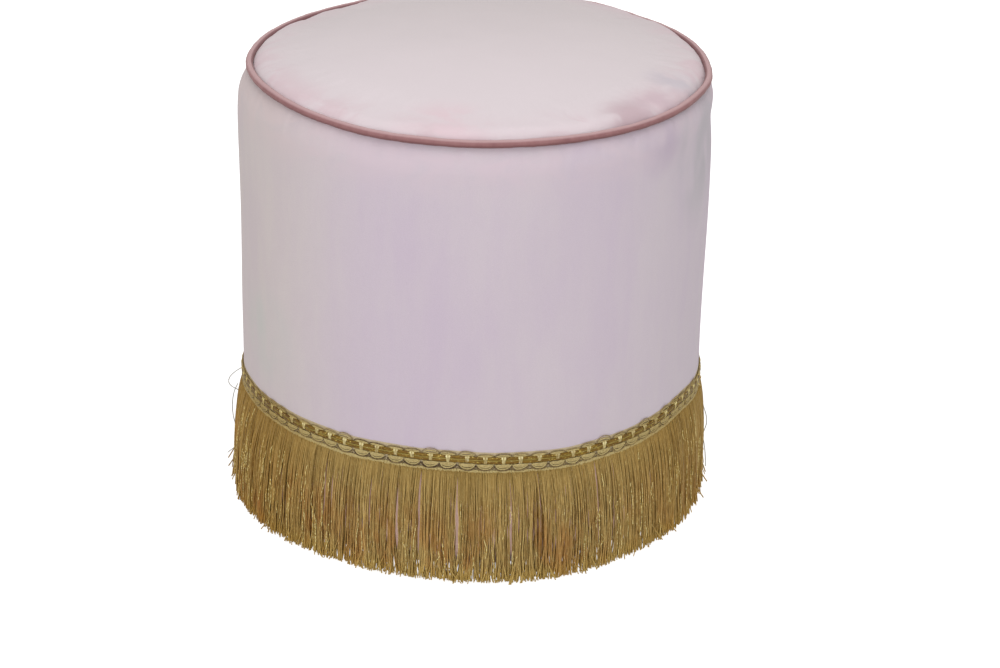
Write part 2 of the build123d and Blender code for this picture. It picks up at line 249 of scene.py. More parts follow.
# Loose threads at the ends of the heading: azimuth in degrees, then distance from the axis, height
# and slip round the drum at each station
LOOSE_RADIUS = 0.00038
# The first ones are grey sewing thread, the others gold
GREY_THREADS = 5
LOOSE_THREADS = (
    (180, (
        (0.1755, 0.0800, 0), (0.1819, 0.0762, 0), (0.1866, 0.0724, 0.004), (0.1884, 0.0683, 0.008),
        (0.1870, 0.0643, 0.008), (0.1833, 0.0619, 0.004), (0.1795, 0.0600, 0),
    )),
    (180, (
        (0.1800, 0.0655, 0.002), (0.1832, 0.0600, 0.002), (0.1842, 0.0536, 0), (0.1851, 0.0452, 0),
        (0.1846, 0.0371, 0), (0.1825, 0.0300, 0),
    )),
    (180, ((0.1820, 0.0110, 0), (0.1859, 0.0082, 0), (0.1892, 0.0052, 0))),
    (0, (
        (0.1755, 0.0660, 0), (0.1785, 0.0588, 0), (0.1824, 0.0500, 0), (0.1842, 0.0423, 0),
        (0.1837, 0.0375, 0), (0.1815, 0.0320, 0),
    )),
    (0, ((0.1800, 0.0300, 0), (0.1822, 0.0248, 0), (0.1840, 0.0120, 0), (0.1846, 0.0020, 0))),
    (-12, ((0.1755, 0.0990, 0), (0.1785, 0.0975, 0.002), (0.1770, 0.0950, 0))),
    (-11, ((0.1755, 0.0900, 0), (0.1790, 0.0880, -0.002), (0.1765, 0.0850, 0))),
)
# Bright threads that stray across the fringe: azimuth and half width in degrees, and their count
CROSSING_GROUPS = ((212, 26, 64), (318, 22, 36), (262, 34, 14), (60, 80, 70))
CROSSING_RADIUS = 0.00026
# How far below the roots they start at most, their least and most drop, and their lowest end
CROSSING_START = 0.065
CROSSING_DROP = (0.008, 0.034)
CROSSING_LOWEST = 0.003

# Where a hand has brushed the nap: middle, reach and shade
SEAT_PATCHES = (
    ((0.112, -0.120, 0.333), 0.034, (197, 174, 180)),
    ((0.130, -0.096, 0.334), 0.030, (206, 185, 192)),
    ((0.143, -0.052, 0.335), 0.030, (202, 194, 201)),
    ((-0.020, -0.150, 0.334), 0.045, (224, 202, 208)),
)
SIDE_PATCHES = (
    ((0.166, -0.060, 0.290), 0.070, (185, 180, 185)),
    ((0.135, -0.115, 0.312), 0.030, (190, 176, 190)),
    ((-0.150, -0.090, 0.150), 0.050, (196, 194, 198)),
)

# The camera that took the picture
PHOTO_WIDTH = 1000
FOCAL_PIXELS = 2780
CAMERA_DISTANCE = 2.128
CAMERA_ELEVATION = radians(24.93)
CAMERA_ROLL = radians(1.2)
CAMERA_TARGET = Vector((0.0217, 0, 0.1121))
FLOOR_REACH = 12.0


# Shape of the skin
side_radius = (BELLY_HEIGHT**2 + FOOT_DRAW_IN**2) / (2 * FOOT_DRAW_IN)
side_centre_radius = BODY_RADIUS - side_radius
shoulder_reach = side_radius - SHOULDER_RADIUS
shoulder_rise = SEAM_HEIGHT - SHOULDER_RADIUS * sin(SEAM_ANGLE) - BELLY_HEIGHT
shoulder_start = asin(shoulder_rise / shoulder_reach)
shoulder_centre = (
    side_centre_radius + shoulder_reach * cos(shoulder_start),
    BELLY_HEIGHT + shoulder_rise,
)
seam_radius = shoulder_centre[0] + SHOULDER_RADIUS * cos(SEAM_ANGLE)
rim_run = seam_radius - RIM_RADIUS * cos(RIM_ANGLE)
rim_rise = CROWN_HEIGHT - RIM_RADIUS * (1 - sin(RIM_ANGLE))
dome_angle = 2 * atan(rim_rise / rim_run)
dome_radius = rim_run / sin(dome_angle) + RIM_RADIUS
piping_centre = (
    seam_radius + PIPING_RADIUS * cos(SEAM_ANGLE),
    SEAM_HEIGHT + PIPING_RADIUS * sin(SEAM_ANGLE),
)


def arc(centre, radius, start, end, count):
    """Points of an arc in the half section, as radius and height, from start to end."""
    angles = np.linspace(start, end, count)
    return np.stack([centre[0] + radius * np.cos(angles), centre[1] + radius * np.sin(angles)], 1)


def skin_radius(height):
    """Radius of the velvet at a height on the side."""
    return side_centre_radius + sqrt(side_radius**2 - (height - BELLY_HEIGHT) ** 2)


def crown_profile():
    """Half section of the seat, from the middle out to the seam."""
    dome_centre = (0, TOTAL_HEIGHT - dome_radius)
    calm_end = BACK - asin(CALM_RADIUS / dome_radius)
    calm = arc(dome_centre, dome_radius, BACK, calm_end, CALM_ROWS)
    dome = arc(dome_centre, dome_radius, calm_end, BACK - dome_angle, 14)
    rim_centre = (rim_run, SEAM_HEIGHT - RIM_RADIUS * sin(RIM_ANGLE))
    rim = arc(rim_centre, RIM_RADIUS, BACK - dome_angle, RIM_ANGLE, 14)
    return np.concatenate([calm, dome[1:], rim[1:]])


def side_profile():
    """Half section of the side, from the seam down to the fold of the hem."""
    shoulder = arc(shoulder_centre, SHOULDER_RADIUS, SEAM_ANGLE, shoulder_start, 16)
    foot = HEM_BOTTOM + HEM_BEND
    foot_angle = asin((foot - BELLY_HEIGHT) / side_radius)
    side_centre = (side_centre_radius, BELLY_HEIGHT)
    fine_start, fine_end = [asin((level - BELLY_HEIGHT) / side_radius) for level in FINE_ROWS]
    side = np.concatenate(
        [
            arc(side_centre, side_radius, shoulder_start, fine_start, 92),
            arc(side_centre, side_radius, fine_start, fine_end, 84)[1:],
            arc(side_centre, side_radius, fine_end, foot_angle, 34)[1:],
        ]
    )
    bend_centre = (skin_radius(foot) - HEM_BEND, foot)
    bend = arc(bend_centre, HEM_BEND, 0, -BACK, 6)
    return np.concatenate([shoulder, side[1:], bend[1:]])


def closed_wave(angles, counts, seed):
    """A smooth wave that closes round the drum, made of the wave counts given, within about 1."""
    draws = np.random.default_rng(seed)
    waves = [draws.uniform(0.5, 1) * np.sin(n * angles + draws.uniform(0, TURN)) for n in counts]
    return sum(waves) / sqrt(len(counts))


def bell(distance, middle, width):
    """A smooth bump, 1 at its middle."""
    return np.exp(-(((distance - middle) / width) ** 2))


def angle_apart(angles, azimuth):
    """Angles from an azimuth, the short way round."""
    return np.angle(np.exp(1j * (angles - azimuth)))


def swells(angles, rows):
    """The sum of several swells round the drum."""
    return sum(
        amount * bell(angle_apart(angles, radians(azimuth)), 0, radians(half_width))
        for azimuth, half_width, amount in rows
    )


def seat_slip(share):
    """A sideways move of the seat, of which share is taken."""
    return SEAT_SLIP * np.asarray(share)[..., None] * (1, 0, 0)


def heading_lift(angles):
    """How far the hand-sewn heading strays up or down round the drum."""
    waves = HEADING_WAVES * closed_wave(angles, (3, 5, 8, 13, 21), 11)
    return swells(angles, HEADING_SWELLS) + waves


# Meshes
def weld(mesh):
    """Joins the points of a mesh that lie on each other, as where a section meets the axis."""
    made = bmesh.new()
    made.from_mesh(mesh)
    bmesh.ops.remove_doubles(made, verts=made.verts, dist=WELD_DISTANCE)
    made.to_mesh(mesh)
    made.free()


def placed(name, data):
    """A new object in the scene."""
    made = bpy.data.objects.new(name, data)
    bpy.context.scene.collection.objects.link(made)
    return made


def mesh_piece(name, points, faces, looks, slot, replaced=(), face_materials=None, **tones):
    """Makes a shaded mesh that rides on the drum, in the place of the nodes it replaces.

    looks names its finishes, and tones are values per point that its materials read.
    """
    mesh = bpy.data.meshes.new(name)
    mesh.from_pydata(np.asarray(points).reshape(-1, 3).tolist(), [], faces)
    for look in looks:
        mesh.materials.append(finishes[look])
    if face_materials is not None:
        mesh.polygons.foreach_set("material_index", face_materials)
    for tone, values in tones.items():
        mesh.attributes.new(tone, "FLOAT", "POINT").data.foreach_set("value", np.ravel(values))
    mesh.shade_smooth()
    piece = placed(name, mesh)
    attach(piece, BODY)
    if replaced:
        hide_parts(*replaced)
    return piece


def grid_faces(rows, columns, close_rows=False):
    """Quads of a grid of points stored row by row, whose columns close round."""
    last_row = rows if close_rows else rows - 1
    row, column = np.meshgrid(np.arange(last_row), np.arange(columns), indexing="ij")
    below, beside = (row + 1) % rows, (column + 1) % columns
    corners = [(row, column), (below, column), (below, beside), (row, beside)]
    return np.stack([(across * columns + along).ravel() for across, along in corners], 1)


def even_angles(count):
    """Angles evenly round the drum."""
    return np.arange(count) * TURN / count


def on_circle(radius, height, angles):
    """Points at a radius and height round the drum's axis; the arrays broadcast."""
    radius, height, angles = np.broadcast_arrays(radius, height, angles)
    return np.stack([radius * np.cos(angles), radius * np.sin(angles), height], -1)


def unit(vectors):
    """The vectors at length 1."""
    return vectors / np.maximum(np.linalg.norm(vectors, axis=-1, keepdims=True), 1e-12)


def tubes(paths, radius, sides, closed=False, flatness=1.0, phase=None):
    """Points and faces of round threads along paths that lie near the drum's skin.

    paths is threads by points by 3, and radius broadcasts to threads by points. flatness is the
    thread's depth over its width. An open thread gets a cap at each end.
    """
    paths = np.asarray(paths, float)
    threads, steps = paths.shape[:2]
    if closed:
        along = np.roll(paths, -1, 1) - np.roll(paths, 1, 1)
    else:
        along = np.gradient(paths, axis=1)
    along = unit(along)
    outward = unit(paths * (1, 1, 0))
    across = unit(np.cross(along, outward))
    outward = np.cross(across, along)
    radius = np.broadcast_to(radius, (threads, steps))[:, :, None, None]
    start = np.zeros((threads, 1, 1)) if phase is None else phase[:, None, None]
    turns = even_angles(sides) + start
    ring = (
        np.cos(turns)[..., None] * outward[:, :, None] * flatness
        + np.sin(turns)[..., None] * across[:, :, None]
    )
    points = paths[:, :, None] + radius * ring
    one = grid_faces(steps, sides, close_rows=closed)
    size = steps * sides
    starts = np.arange(threads) * size
    faces = (one[None] + starts[:, None, None]).reshape(-1, 4).tolist()
    if not closed:
        first = np.arange(sides)
        last = first[::-1] + size - sides
        faces += (starts[:, None] + first).tolist() + (starts[:, None] + last).tolist()
    return points.reshape(-1, 3), faces


def joined(parts):
    """Joins several sets of points and faces into one."""
    points, faces, start = [], [], 0
    for part_points, part_faces in parts:
        points.append(part_points)
        faces += [[index + start for index in face] for face in part_faces]
        start += len(part_points)
    return np.concatenate(points), faces


def thread_piece(name, paths, radius, sides, look, slot, replaced=(), tones=None, **form):
    """A piece of round threads; form is what tubes takes besides, tones what mesh_piece takes."""
    points, faces = tubes(paths, radius, sides, **form)
    mesh_piece(name, points, faces, [look], slot, replaced, **(tones or {}))


# Materials
def new_group(name, inputs, outputs):
    """A shader node group with inputs, given as name to default, and outputs.

    Gives a Tree for its nodes, its inputs, and a function that sets its outputs and returns it.
    """
    kinds = {float: "NodeSocketFloat", tuple: "NodeSocketColor", Vector: "NodeSocketVector"}
    group = bpy.data.node_groups.new(name, "ShaderNodeTree")
    for label, default in inputs.items():
        made = group.interface.new_socket(label, in_out="INPUT", socket_type=kinds[type(default)])
        made.default_value = default
    for label, kind in outputs.items():
        group.interface.new_socket(label, in_out="OUTPUT", socket_type=kinds[kind])
    tree = Tree(group)
    given = tree.node("NodeGroupInput").outputs
    results = tree.node("NodeGroupOutput").inputs

    def put_out(**values):
        for label, value in values.items():
            tree.feed(results[label], value)
        return group

    return tree, given, put_out


class Tree:
    """Short ways to place and wire shader nodes in one node tree."""

    def __init__(self, tree):
        self.tree = tree

    def node(self, kind, *values, **settings):
        """A node with settings, and values for its first inputs."""
        made = self.tree.nodes.new(kind)
        for name, value in settings.items():
            setattr(made, name, value)
        for socket, value in zip(made.inputs, values):
            self.feed(socket, value)
        return made

    def feed(self, socket, value):
        if isinstance(value, bpy.types.NodeSocket):
            self.tree.links.new(value, socket)
        else:
            socket.default_value = value

    def math(self, operation, *values, clamp=False):
        return self.node("ShaderNodeMath", *values, operation=operation, use_clamp=clamp).outputs[0]

    def times(self, first, second):
        return self.math("MULTIPLY", first, second)

    def plus(self, first, second):
        return self.math("ADD", first, second)

    def noise(self, vector, scale, detail=2.0, roughness=0.5, distortion=0.0):
        made = self.node("ShaderNodeTexNoise", vector)
        self.feed(made.inputs["Scale"], scale)
        self.feed(made.inputs["Detail"], detail)
        self.feed(made.inputs["Roughness"], roughness)
        self.feed(made.inputs["Distortion"], distortion)
        return made.outputs["Fac"]

    def range(self, *values):
        """A value from one range to another, 0 to 1 unless given, eased at both ends."""
        return self.node("ShaderNodeMapRange", *values, interpolation_type="SMOOTHSTEP").outputs[0]

    def mix(self, share, first, second, blend="MIX"):
        made = self.node("ShaderNodeMix", share, data_type="RGBA", blend_type=blend)
        self.feed(made.inputs[6], first)
        self.feed(made.inputs[7], second)
        return made.outputs[2]

    def stretch(self, vector, scale):
        return self.node("ShaderNodeVectorMath", vector, scale, operation="MULTIPLY").outputs[0]

    def place(self):
        """Where the shaded point is, in metres."""
        return self.node("ShaderNodeTexCoord").outputs["Object"]

    def near(self, middle, reach):
        """1 near a place, fading to 0 at its reach."""
        apart = self.node("ShaderNodeVectorMath", self.place(), middle, operation="DISTANCE")
        return self.range(apart.outputs["Value"], reach, reach * 0.2)

    def split(self, vector):
        return self.node("ShaderNodeSeparateXYZ", vector).outputs

    def attribute(self, name):
        return self.node("ShaderNodeAttribute", attribute_name=name).outputs["Fac"]

    def group(self, group, **values):
        made = self.node("ShaderNodeGroup", node_tree=group)
        for name, value in values.items():
            self.feed(made.inputs[name.replace("_", " ")], value)
        return made.outputs

    def surface(self, shader, colour, height, strength, depth=0.0003, rough=None):
        """Gives a shader its colour, its relief and, where it varies, its roughness."""
        self.feed(shader["Base Color"], colour)
        bump = self.node("ShaderNodeBump")
        self.feed(bump.inputs["Height"], height)
        bump.inputs["Strength"].default_value = strength
        bump.inputs["Distance"].default_value = depth
        self.feed(shader["Normal"], bump.outputs["Normal"])
        if rough is not None:
            self.feed(shader["Roughness"], rough)

    def gold_surface(self, shader, colour, side_shading, *relief):
        """Gives a shader gold with painted shade at the sides of the drum, and its relief."""
        side_shaded = self.group(painted_side_shade, Color=colour, Deepening=side_shading)
        self.surface(shader, side_shaded["Color"], *relief)

    def strength_seen(self, lighting, shown):
        """A strength that lights the scene with one value and shows the camera another."""
        seen = self.node("ShaderNodeLightPath").outputs["Is Camera Ray"]
        return self.range(seen, 0.0, 1.0, lighting, shown)


def new_material(name, **constants):
    """A material with a Principled BSDF, whose constant values are set on its own sockets."""
    material = bpy.data.materials.new(name)
    material.use_nodes = True
    shader = material.node_tree.nodes["Principled BSDF"]
    for label, value in constants.items():
        shader.inputs[label.replace("_", " ")].default_value = value
    return material, Tree(material.node_tree), shader.inputs


def srgb(red, green, blue):
    """A colour given as 0 to 255 on screen."""
    shares = [channel / 255 for channel in (red, green, blue)]
    linear = [s / 12.92 if s <= 0.04045 else ((s + 0.055) / 1.055) ** 2.4 for s in shares]
    return (*linear, 1.0)


def nap_group():
    """Velvet: soft patches where the pile leans one way or another, streaks, and the pile."""
    tree, given, put_out = new_group(
        "velvet_nap",
        {
            "Leaning away": (0.5, 0.5, 0.5, 1.0),
            "Leaning near": (0.6, 0.6, 0.6, 1.0),
            "Patch scale": Vector((9, 9, 4)),
            "Streak scale": Vector((60, 60, 12)),
            "Streak share": 0.3,
        },
        {"Color": tuple, "Height": float},
    )
    place = tree.place()
    patches = tree.noise(tree.stretch(place, given["Patch scale"]), 1.0, 3.0, 0.5, 0.4)
    streaks = tree.noise(tree.stretch(place, given["Streak scale"]), 1.0, 3.0, 0.6, 0.3)
    lean = tree.range(patches, 0.32, 0.68)
    streak = tree.times(tree.range(streaks, 0.3, 0.7), given["Streak share"])
    rest = tree.math("SUBTRACT", 1.0, given["Streak share"])
    share = tree.plus(tree.times(lean, rest), streak)
    colour = tree.mix(share, given["Leaning away"], given["Leaning near"])
    pile = tree.noise(place, 2600.0, 2.0, 0.7)
    tuft = tree.noise(place, 900.0, 2.0, 0.6)
    speckled = tree.mix(1.0, colour, tree.range(pile, 0.2, 0.8, 0.93, 1.05), "MULTIPLY")
    return put_out(Color=speckled, Height=tree.plus(tree.times(pile, 0.4), tree.times(tuft, 0.6)))


def thread_group():
    """Spun metallic thread: a light and a dark ply, fine wraps, and painted highlights as sparks.
    """
    tree, given, put_out = new_group(
        "spun_thread",
        {
            "Dark ply": (0.1, 0.06, 0.02, 1.0),
            "Light ply": (0.4, 0.3, 0.1, 1.0),
            "Spark": (0.9, 0.8, 0.5, 1.0),
            "Tone": 0.5,
            "Ply scale": Vector((700, 700, 260)),
            "Spark share": 0.1,
        },
        {"Color": tuple, "Height": float, "Roughness": float},
    )
    scaled = tree.stretch(tree.place(), given["Ply scale"])
    ply = tree.noise(scaled, 1.0, 2.0, 0.6, 0.3)
    glint = tree.noise(scaled, 2.3, 1.0, 0.5)
    share = tree.math("ADD", given["Tone"], tree.range(ply, 0.3, 0.7, -0.22, 0.22), clamp=True)
    colour = tree.mix(share, given["Dark ply"], given["Light ply"])
    # Painted highlights: bright glints where the noise peaks, a little glossier there too
    edge = tree.math("SUBTRACT", 0.82, tree.times(given["Spark share"], 1.4))
    painted_glints = tree.range(glint, edge, tree.plus(edge, 0.06))
    colour = tree.mix(painted_glints, colour, given["Spark"])
    return put_out(Color=colour, Height=ply, Roughness=tree.range(painted_glints, 0.0, 1.0, 0.5, 0.22))


def weave_group():
    """Plain weave: two sets of ribs that cross, for tape and cloth."""
    tree, given, put_out = new_group(
        "plain_weave",
        {"Across scale": 900.0, "Up scale": 700.0, "Wander": 0.15},
        {"Height": float, "Mask": float},
    )
    place = tree.place()
    x, y, z = tree.split(place)
    drift = tree.times(tree.noise(place, 60.0, 2.0), given["Wander"])
    around = tree.times(tree.math("ARCTAN2", y, x), BODY_RADIUS)
    across = tree.times(tree.plus(around, drift), given["Across scale"])
    up = tree.times(z, given["Up scale"])
    warp, weft = [tree.math("SINE", tree.times(ribs, TURN)) for ribs in (across, up)]
    woven = tree.math("MULTIPLY_ADD", tree.times(warp, weft), 0.5, 0.5)
    return put_out(Height=woven, Mask=tree.plus(tree.times(woven, 0.7), tree.times(drift, 0.3)))


def grain_group():
    """Wood grain: long fibres along one axis, with pores and darker bands."""
    tree, given, put_out = new_group(
        "wood_grain",
        {
            "Early wood": (0.6, 0.45, 0.28, 1.0),
            "Late wood": (0.4, 0.28, 0.16, 1.0),
            "Fibre scale": Vector((60, 60, 4)),
        },
        {"Color": tuple, "Height": float},
    )
    scaled = tree.stretch(tree.place(), given["Fibre scale"])
    bands = tree.range(tree.noise(scaled, 1.0, 4.0, 0.6, 1.2), 0.35, 0.65, 0.0, 0.7)
    fibres = tree.noise(scaled, 9.0, 2.0, 0.7)
    share = tree.plus(bands, tree.times(fibres, 0.3))
    return put_out(Color=tree.mix(share, given["Early wood"], given["Late wood"]), Height=fibres)


def mottle_group():
    """Slight unevenness of one colour, for plastic and plated steel."""
    tree, given, put_out = new_group(
        "mottle",
        {"Base": (0.5, 0.5, 0.5, 1.0), "Worn": (0.6, 0.6, 0.6, 1.0), "Scale": 200.0},
        {"Color": tuple, "Height": float, "Mask": float},
    )
    coarse = tree.noise(tree.place(), given["Scale"], 3.0, 0.6)
    fine = tree.noise(tree.place(), tree.times(given["Scale"], 9.0), 2.0, 0.6)
    mask = tree.range(coarse, 0.35, 0.7)
    return put_out(Color=tree.mix(mask, given["Base"], given["Worn"]), Height=fine, Mask=mask)


def side_shade_group():
    """Painted shade: gold that is darker at the two sides of the drum than in front and at the
    back.
    """
    tree, given, put_out = new_group(
        "painted_side_shade",
        {"Color": (0.5, 0.4, 0.2, 1.0), "Deepening": (0.8, 0.7, 0.6, 1.0)},
        {"Color": tuple},
    )
    across = tree.split(tree.place())[0]
    aside = tree.range(tree.math("ABSOLUTE", across), 0.085, 0.16)
    aside = tree.times(aside, tree.range(across, -0.1, 0.16, 1.0, 0.6))
    return put_out(Color=tree.mix(aside, given["Color"], given["Deepening"], "MULTIPLY"))


velvet_nap = nap_group()
spun_thread = thread_group()
plain_weave = weave_group()
wood_grain = grain_group()
mottle = mottle_group()
painted_side_shade = side_shade_group()


def velvet(
    name, sheen, tint, away, near, roughness=0.85, specular=0.15, sheen_roughness=0.5, **nap_values
):
    """A velvet material, with the nap that colours it and raises its pile."""
    material, tree, shader = new_material(
        name,
        Roughness=roughness,
        Specular_IOR_Level=specular,
        Sheen_Weight=sheen,
        Sheen_Roughness=sheen_roughness,
        Sheen_Tint=srgb(*tint),
    )
    nap = tree.group(velvet_nap, Leaning_away=srgb(*away), Leaning_near=srgb(*near), **nap_values)
    return material, tree, shader, nap


def brushed(tree, colour, soft, patches):
    """A colour with the patches where a hand has brushed the nap, their edges made soft."""
    for middle, reach, shade in patches:
        patch = tree.times(tree.near(middle, reach), tree.range(soft, 0.36, 0.6, 0.2, 0.9))
        colour = tree.mix(patch, colour, srgb(*shade))
    return colour


def side_velvet():
    """The side's velvet, with painted light behind the fringe and in patches under the seam."""
    material, tree, shader, nap = velvet(
        "blush_velvet_side", sheen=0.12,
        tint=(250, 238, 242), away=(201, 188, 201), near=(206, 196, 202),
        Patch_scale=Vector((11, 11, 4.5)), Streak_scale=Vector((70, 70, 14)), Streak_share=0.35,
    )
    place = tree.place()
    across, depth, height = tree.split(place)
    # Painted light: the velvet behind the fringe is paler, so the gaps between threads look lit
    painted_light_behind_fringe = tree.times(tree.range(height, 0.088, 0.08), tree.range(height, 0.012, 0.02))
    # Painted highlight: lighter patches of velvet just under the seam, where the top light falls
    near_seam = tree.range(height, 0.285, 0.322)
    seam_highlight_noise = tree.noise(tree.stretch(place, (34, 34, 60)), 1.0, 3.0, 0.55, 0.8)
    painted_seam_highlight = tree.times(near_seam, tree.range(seam_highlight_noise, 0.3, 0.65, 0.25, 1.0))
    colour = tree.mix(painted_seam_highlight, nap["Color"], srgb(209, 194, 202))
    colour = tree.mix(painted_light_behind_fringe, colour, srgb(244, 222, 228))
    soft = tree.noise(tree.stretch(place, (1, 1, 0.6)), 30.0, 2.0, 0.5)
    colour = brushed(tree, colour, soft, SIDE_PATCHES)
    # Painted light: the left side is tinted less blue, as the light fell on it
    painted_left_cast = tree.range(across, -0.06, -0.165)
    colour = tree.mix(painted_left_cast, colour, (0.99, 1.0, 0.9, 1), "MULTIPLY")
    tree.surface(shader, colour, nap["Height"], 0.35, 0.0004)
    # Painted light: a glow behind the fringe, for light that filters through its thin threads
    tree.feed(shader["Emission Color"], tree.mix(painted_light_behind_fringe, (0, 0, 0, 1), srgb(134, 112, 98)))
    shader["Emission Strength"].default_value = 1.0
    return material


def seat_velvet():
    """The seat's velvet: lighter to the front, a painted light, and rubbed rosier along its edge.
    """
    material, tree, shader, nap = velvet(
        "blush_velvet_seat", sheen=0.15,
        tint=(250, 240, 242), away=(208, 199, 200), near=(212, 203, 204),
        Patch_scale=Vector((7, 7, 7)), Streak_scale=Vector((26, 40, 30)), Streak_share=0.3,
    )
    place = tree.place()
    # Painted light: lighter towards the front, which faces the lights
    painted_front_light = tree.range(tree.split(place)[1], 0.13, -0.17, 0.0, 0.6)
    colour = tree.mix(painted_front_light, nap["Color"], srgb(232, 221, 226))
    level = tree.stretch(place, (1, 1, 0))
    from_axis = tree.node("ShaderNodeVectorMath", level, operation="LENGTH").outputs["Value"]
    handled = tree.noise(tree.stretch(place, (22, 34, 22)), 1.0, 3.0, 0.6, 0.7)
    handled = tree.range(handled, 0.42, 0.66, 0.15, 0.75)
    rubbed = tree.times(tree.range(from_axis, 0.128, 0.163), handled)
    colour = tree.mix(rubbed, colour, srgb(214, 190, 196))
    colour = brushed(tree, colour, tree.noise(place, 46.0, 2.0, 0.5), SEAT_PATCHES)
    tree.surface(shader, colour, nap["Height"], 0.35, 0.0004)
    return material


def piping_velvet():
    """Rose pile round a cord, with a painted highlight on top and painted shade underneath."""
    material, tree, shader, nap = velvet(
        "rose_bias_strip", sheen=0.2, roughness=0.6, specular=0.3, sheen_roughness=0.4,
        tint=(240, 215, 210), away=(140, 97, 98), near=(158, 114, 114),
        Patch_scale=Vector((40, 40, 40)), Streak_scale=Vector((240, 240, 120)), Streak_share=0.5,
    )
    upward = tree.attribute("upward")
    # Painted shade underneath the tube, and a painted highlight on its top
    painted_underside_shade = tree.range(upward, 0.35, -0.75, 0.0, 0.85)
    colour = tree.mix(painted_underside_shade, nap["Color"], srgb(108, 66, 64))
    painted_top_highlight = tree.range(upward, 0.42, 0.98, 0.0, 0.7)
    colour = tree.mix(painted_top_highlight, colour, srgb(206, 174, 175))
    # Painted shade in the crease on the inner side, against the seat
    painted_crease_shade = tree.range(tree.attribute("outward"), 0.5, 0.1, 0.0, 0.7)
    colour = tree.mix(painted_crease_shade, colour, srgb(122, 84, 86))
    tree.surface(shader, colour, nap["Height"], 0.4, 0.0004)
    return material


def thread_material(
    name, dark, light, spark, tone=0.5, spark_share=0.1, metallic=0.1, scale=(700, 700, 260),
    side_shading=(0.78, 0.7, 0.5, 1),
):
    """Thread of one colour family: tone is a number, or the mesh attribute that varies it."""
    material, tree, shader = new_material(name, Metallic=metallic, Specular_IOR_Level=0.4)
    thread = tree.group(
        spun_thread,
        Dark_ply=srgb(*dark),
        Light_ply=srgb(*light),
        Spark=srgb(*spark),
        Tone=tree.attribute(tone) if isinstance(tone, str) else tone,
        Ply_scale=Vector(scale),
        Spark_share=spark_share,
    )
    relief = (thread["Height"], 0.5, 0.0003, thread["Roughness"])
    tree.gold_surface(shader, thread["Color"], side_shading, *relief)
    return material


def fringe_material():
    """The hanging thread: paler and greener at the heading, with rusty patches lower down."""
    material, tree, shader = new_material("fringe_thread", Metallic=0.25, Specular_IOR_Level=0.3)
    thread = tree.group(
        spun_thread,
        Dark_ply=srgb(141, 109, 51),
        Light_ply=srgb(209, 181, 112),
        Spark=srgb(246, 232, 164),
        Tone=tree.attribute("tone"),
        Ply_scale=Vector((900, 900, 170)),
        Spark_share=0.12,
    )
    place = tree.place()
    across, depth, height = tree.split(place)
    patches = tree.noise(tree.stretch(place, (34, 34, 13)), 1.0, 3.0, 0.6, 0.4)
    low = tree.times(tree.range(height, 0.078, 0.02), tree.range(across, 0.04, 0.13, 1.0, 0.4))
    rust = tree.times(tree.range(patches, 0.46, 0.62, 0.0, 0.6), low)
    colour = tree.mix(rust, thread["Color"], srgb(178, 117, 52))
    colour = tree.mix(tree.range(height, 0.05, 0.084, 0.0, 0.55), colour, srgb(168, 140, 76))
    colour = tree.mix(tree.range(height, 0.018, 0.002, 0.0, 0.4), colour, srgb(208, 176, 84))
    relief = (thread["Height"], 0.4, 0.0003, thread["Roughness"])
    tree.gold_surface(shader, colour, (0.82, 0.72, 0.52, 1), *relief)
    return material


def tape_material():
    """The pale gold weave of the tape."""
    material, tree, shader = new_material("gold_tape", Roughness=0.6, Metallic=0.15)
    weave = tree.group(plain_weave, Across_scale=700.0, Up_scale=900.0, Wander=0.002)
    colour = tree.mix(weave["Mask"], srgb(176, 158, 118), srgb(222, 208, 176))
    tree.gold_surface(shader, colour, (0.82, 0.75, 0.55, 1), weave["Height"], 0.5)
    return material


def cloth_material(name, dark, light, scale):
    """Matt woven cotton, of ribs so close both ways."""
    material, tree, shader = new_material(name, Roughness=0.9, Specular_IOR_Level=0.2)
    weave = tree.group(plain_weave, Across_scale=scale, Up_scale=scale, Wander=0.004)
    tree.surface(shader, tree.mix(weave["Mask"], srgb(*dark), srgb(*light)), weave["Height"], 0.4)
    return material


def wood_material(name, early, late, fibres):
    """Bare wood, its fibres along the axis of the least scale."""
    material, tree, shader = new_material(name, Roughness=0.7, Specular_IOR_Level=0.3)
    shades = {"Early_wood": srgb(*early), "Late_wood": srgb(*late)}
    grain = tree.group(wood_grain, **shades, Fibre_scale=Vector(fibres))
    tree.surface(shader, grain["Color"], grain["Height"], 0.3)
    return material


def plain_material(name, base, worn, scale, roughness, metallic=0.0):
    """Plastic or plated steel, a little rougher where it is worn."""
    material, tree, shader = new_material(name, Metallic=metallic)
    finish = tree.group(mottle, Base=srgb(*base), Worn=srgb(*worn), Scale=scale)
    rough = tree.range(finish["Mask"], 0.0, 1.0, roughness, roughness + 0.12)
    tree.surface(shader, finish["Color"], finish["Height"], 0.2, 0.0002, rough)
    return material


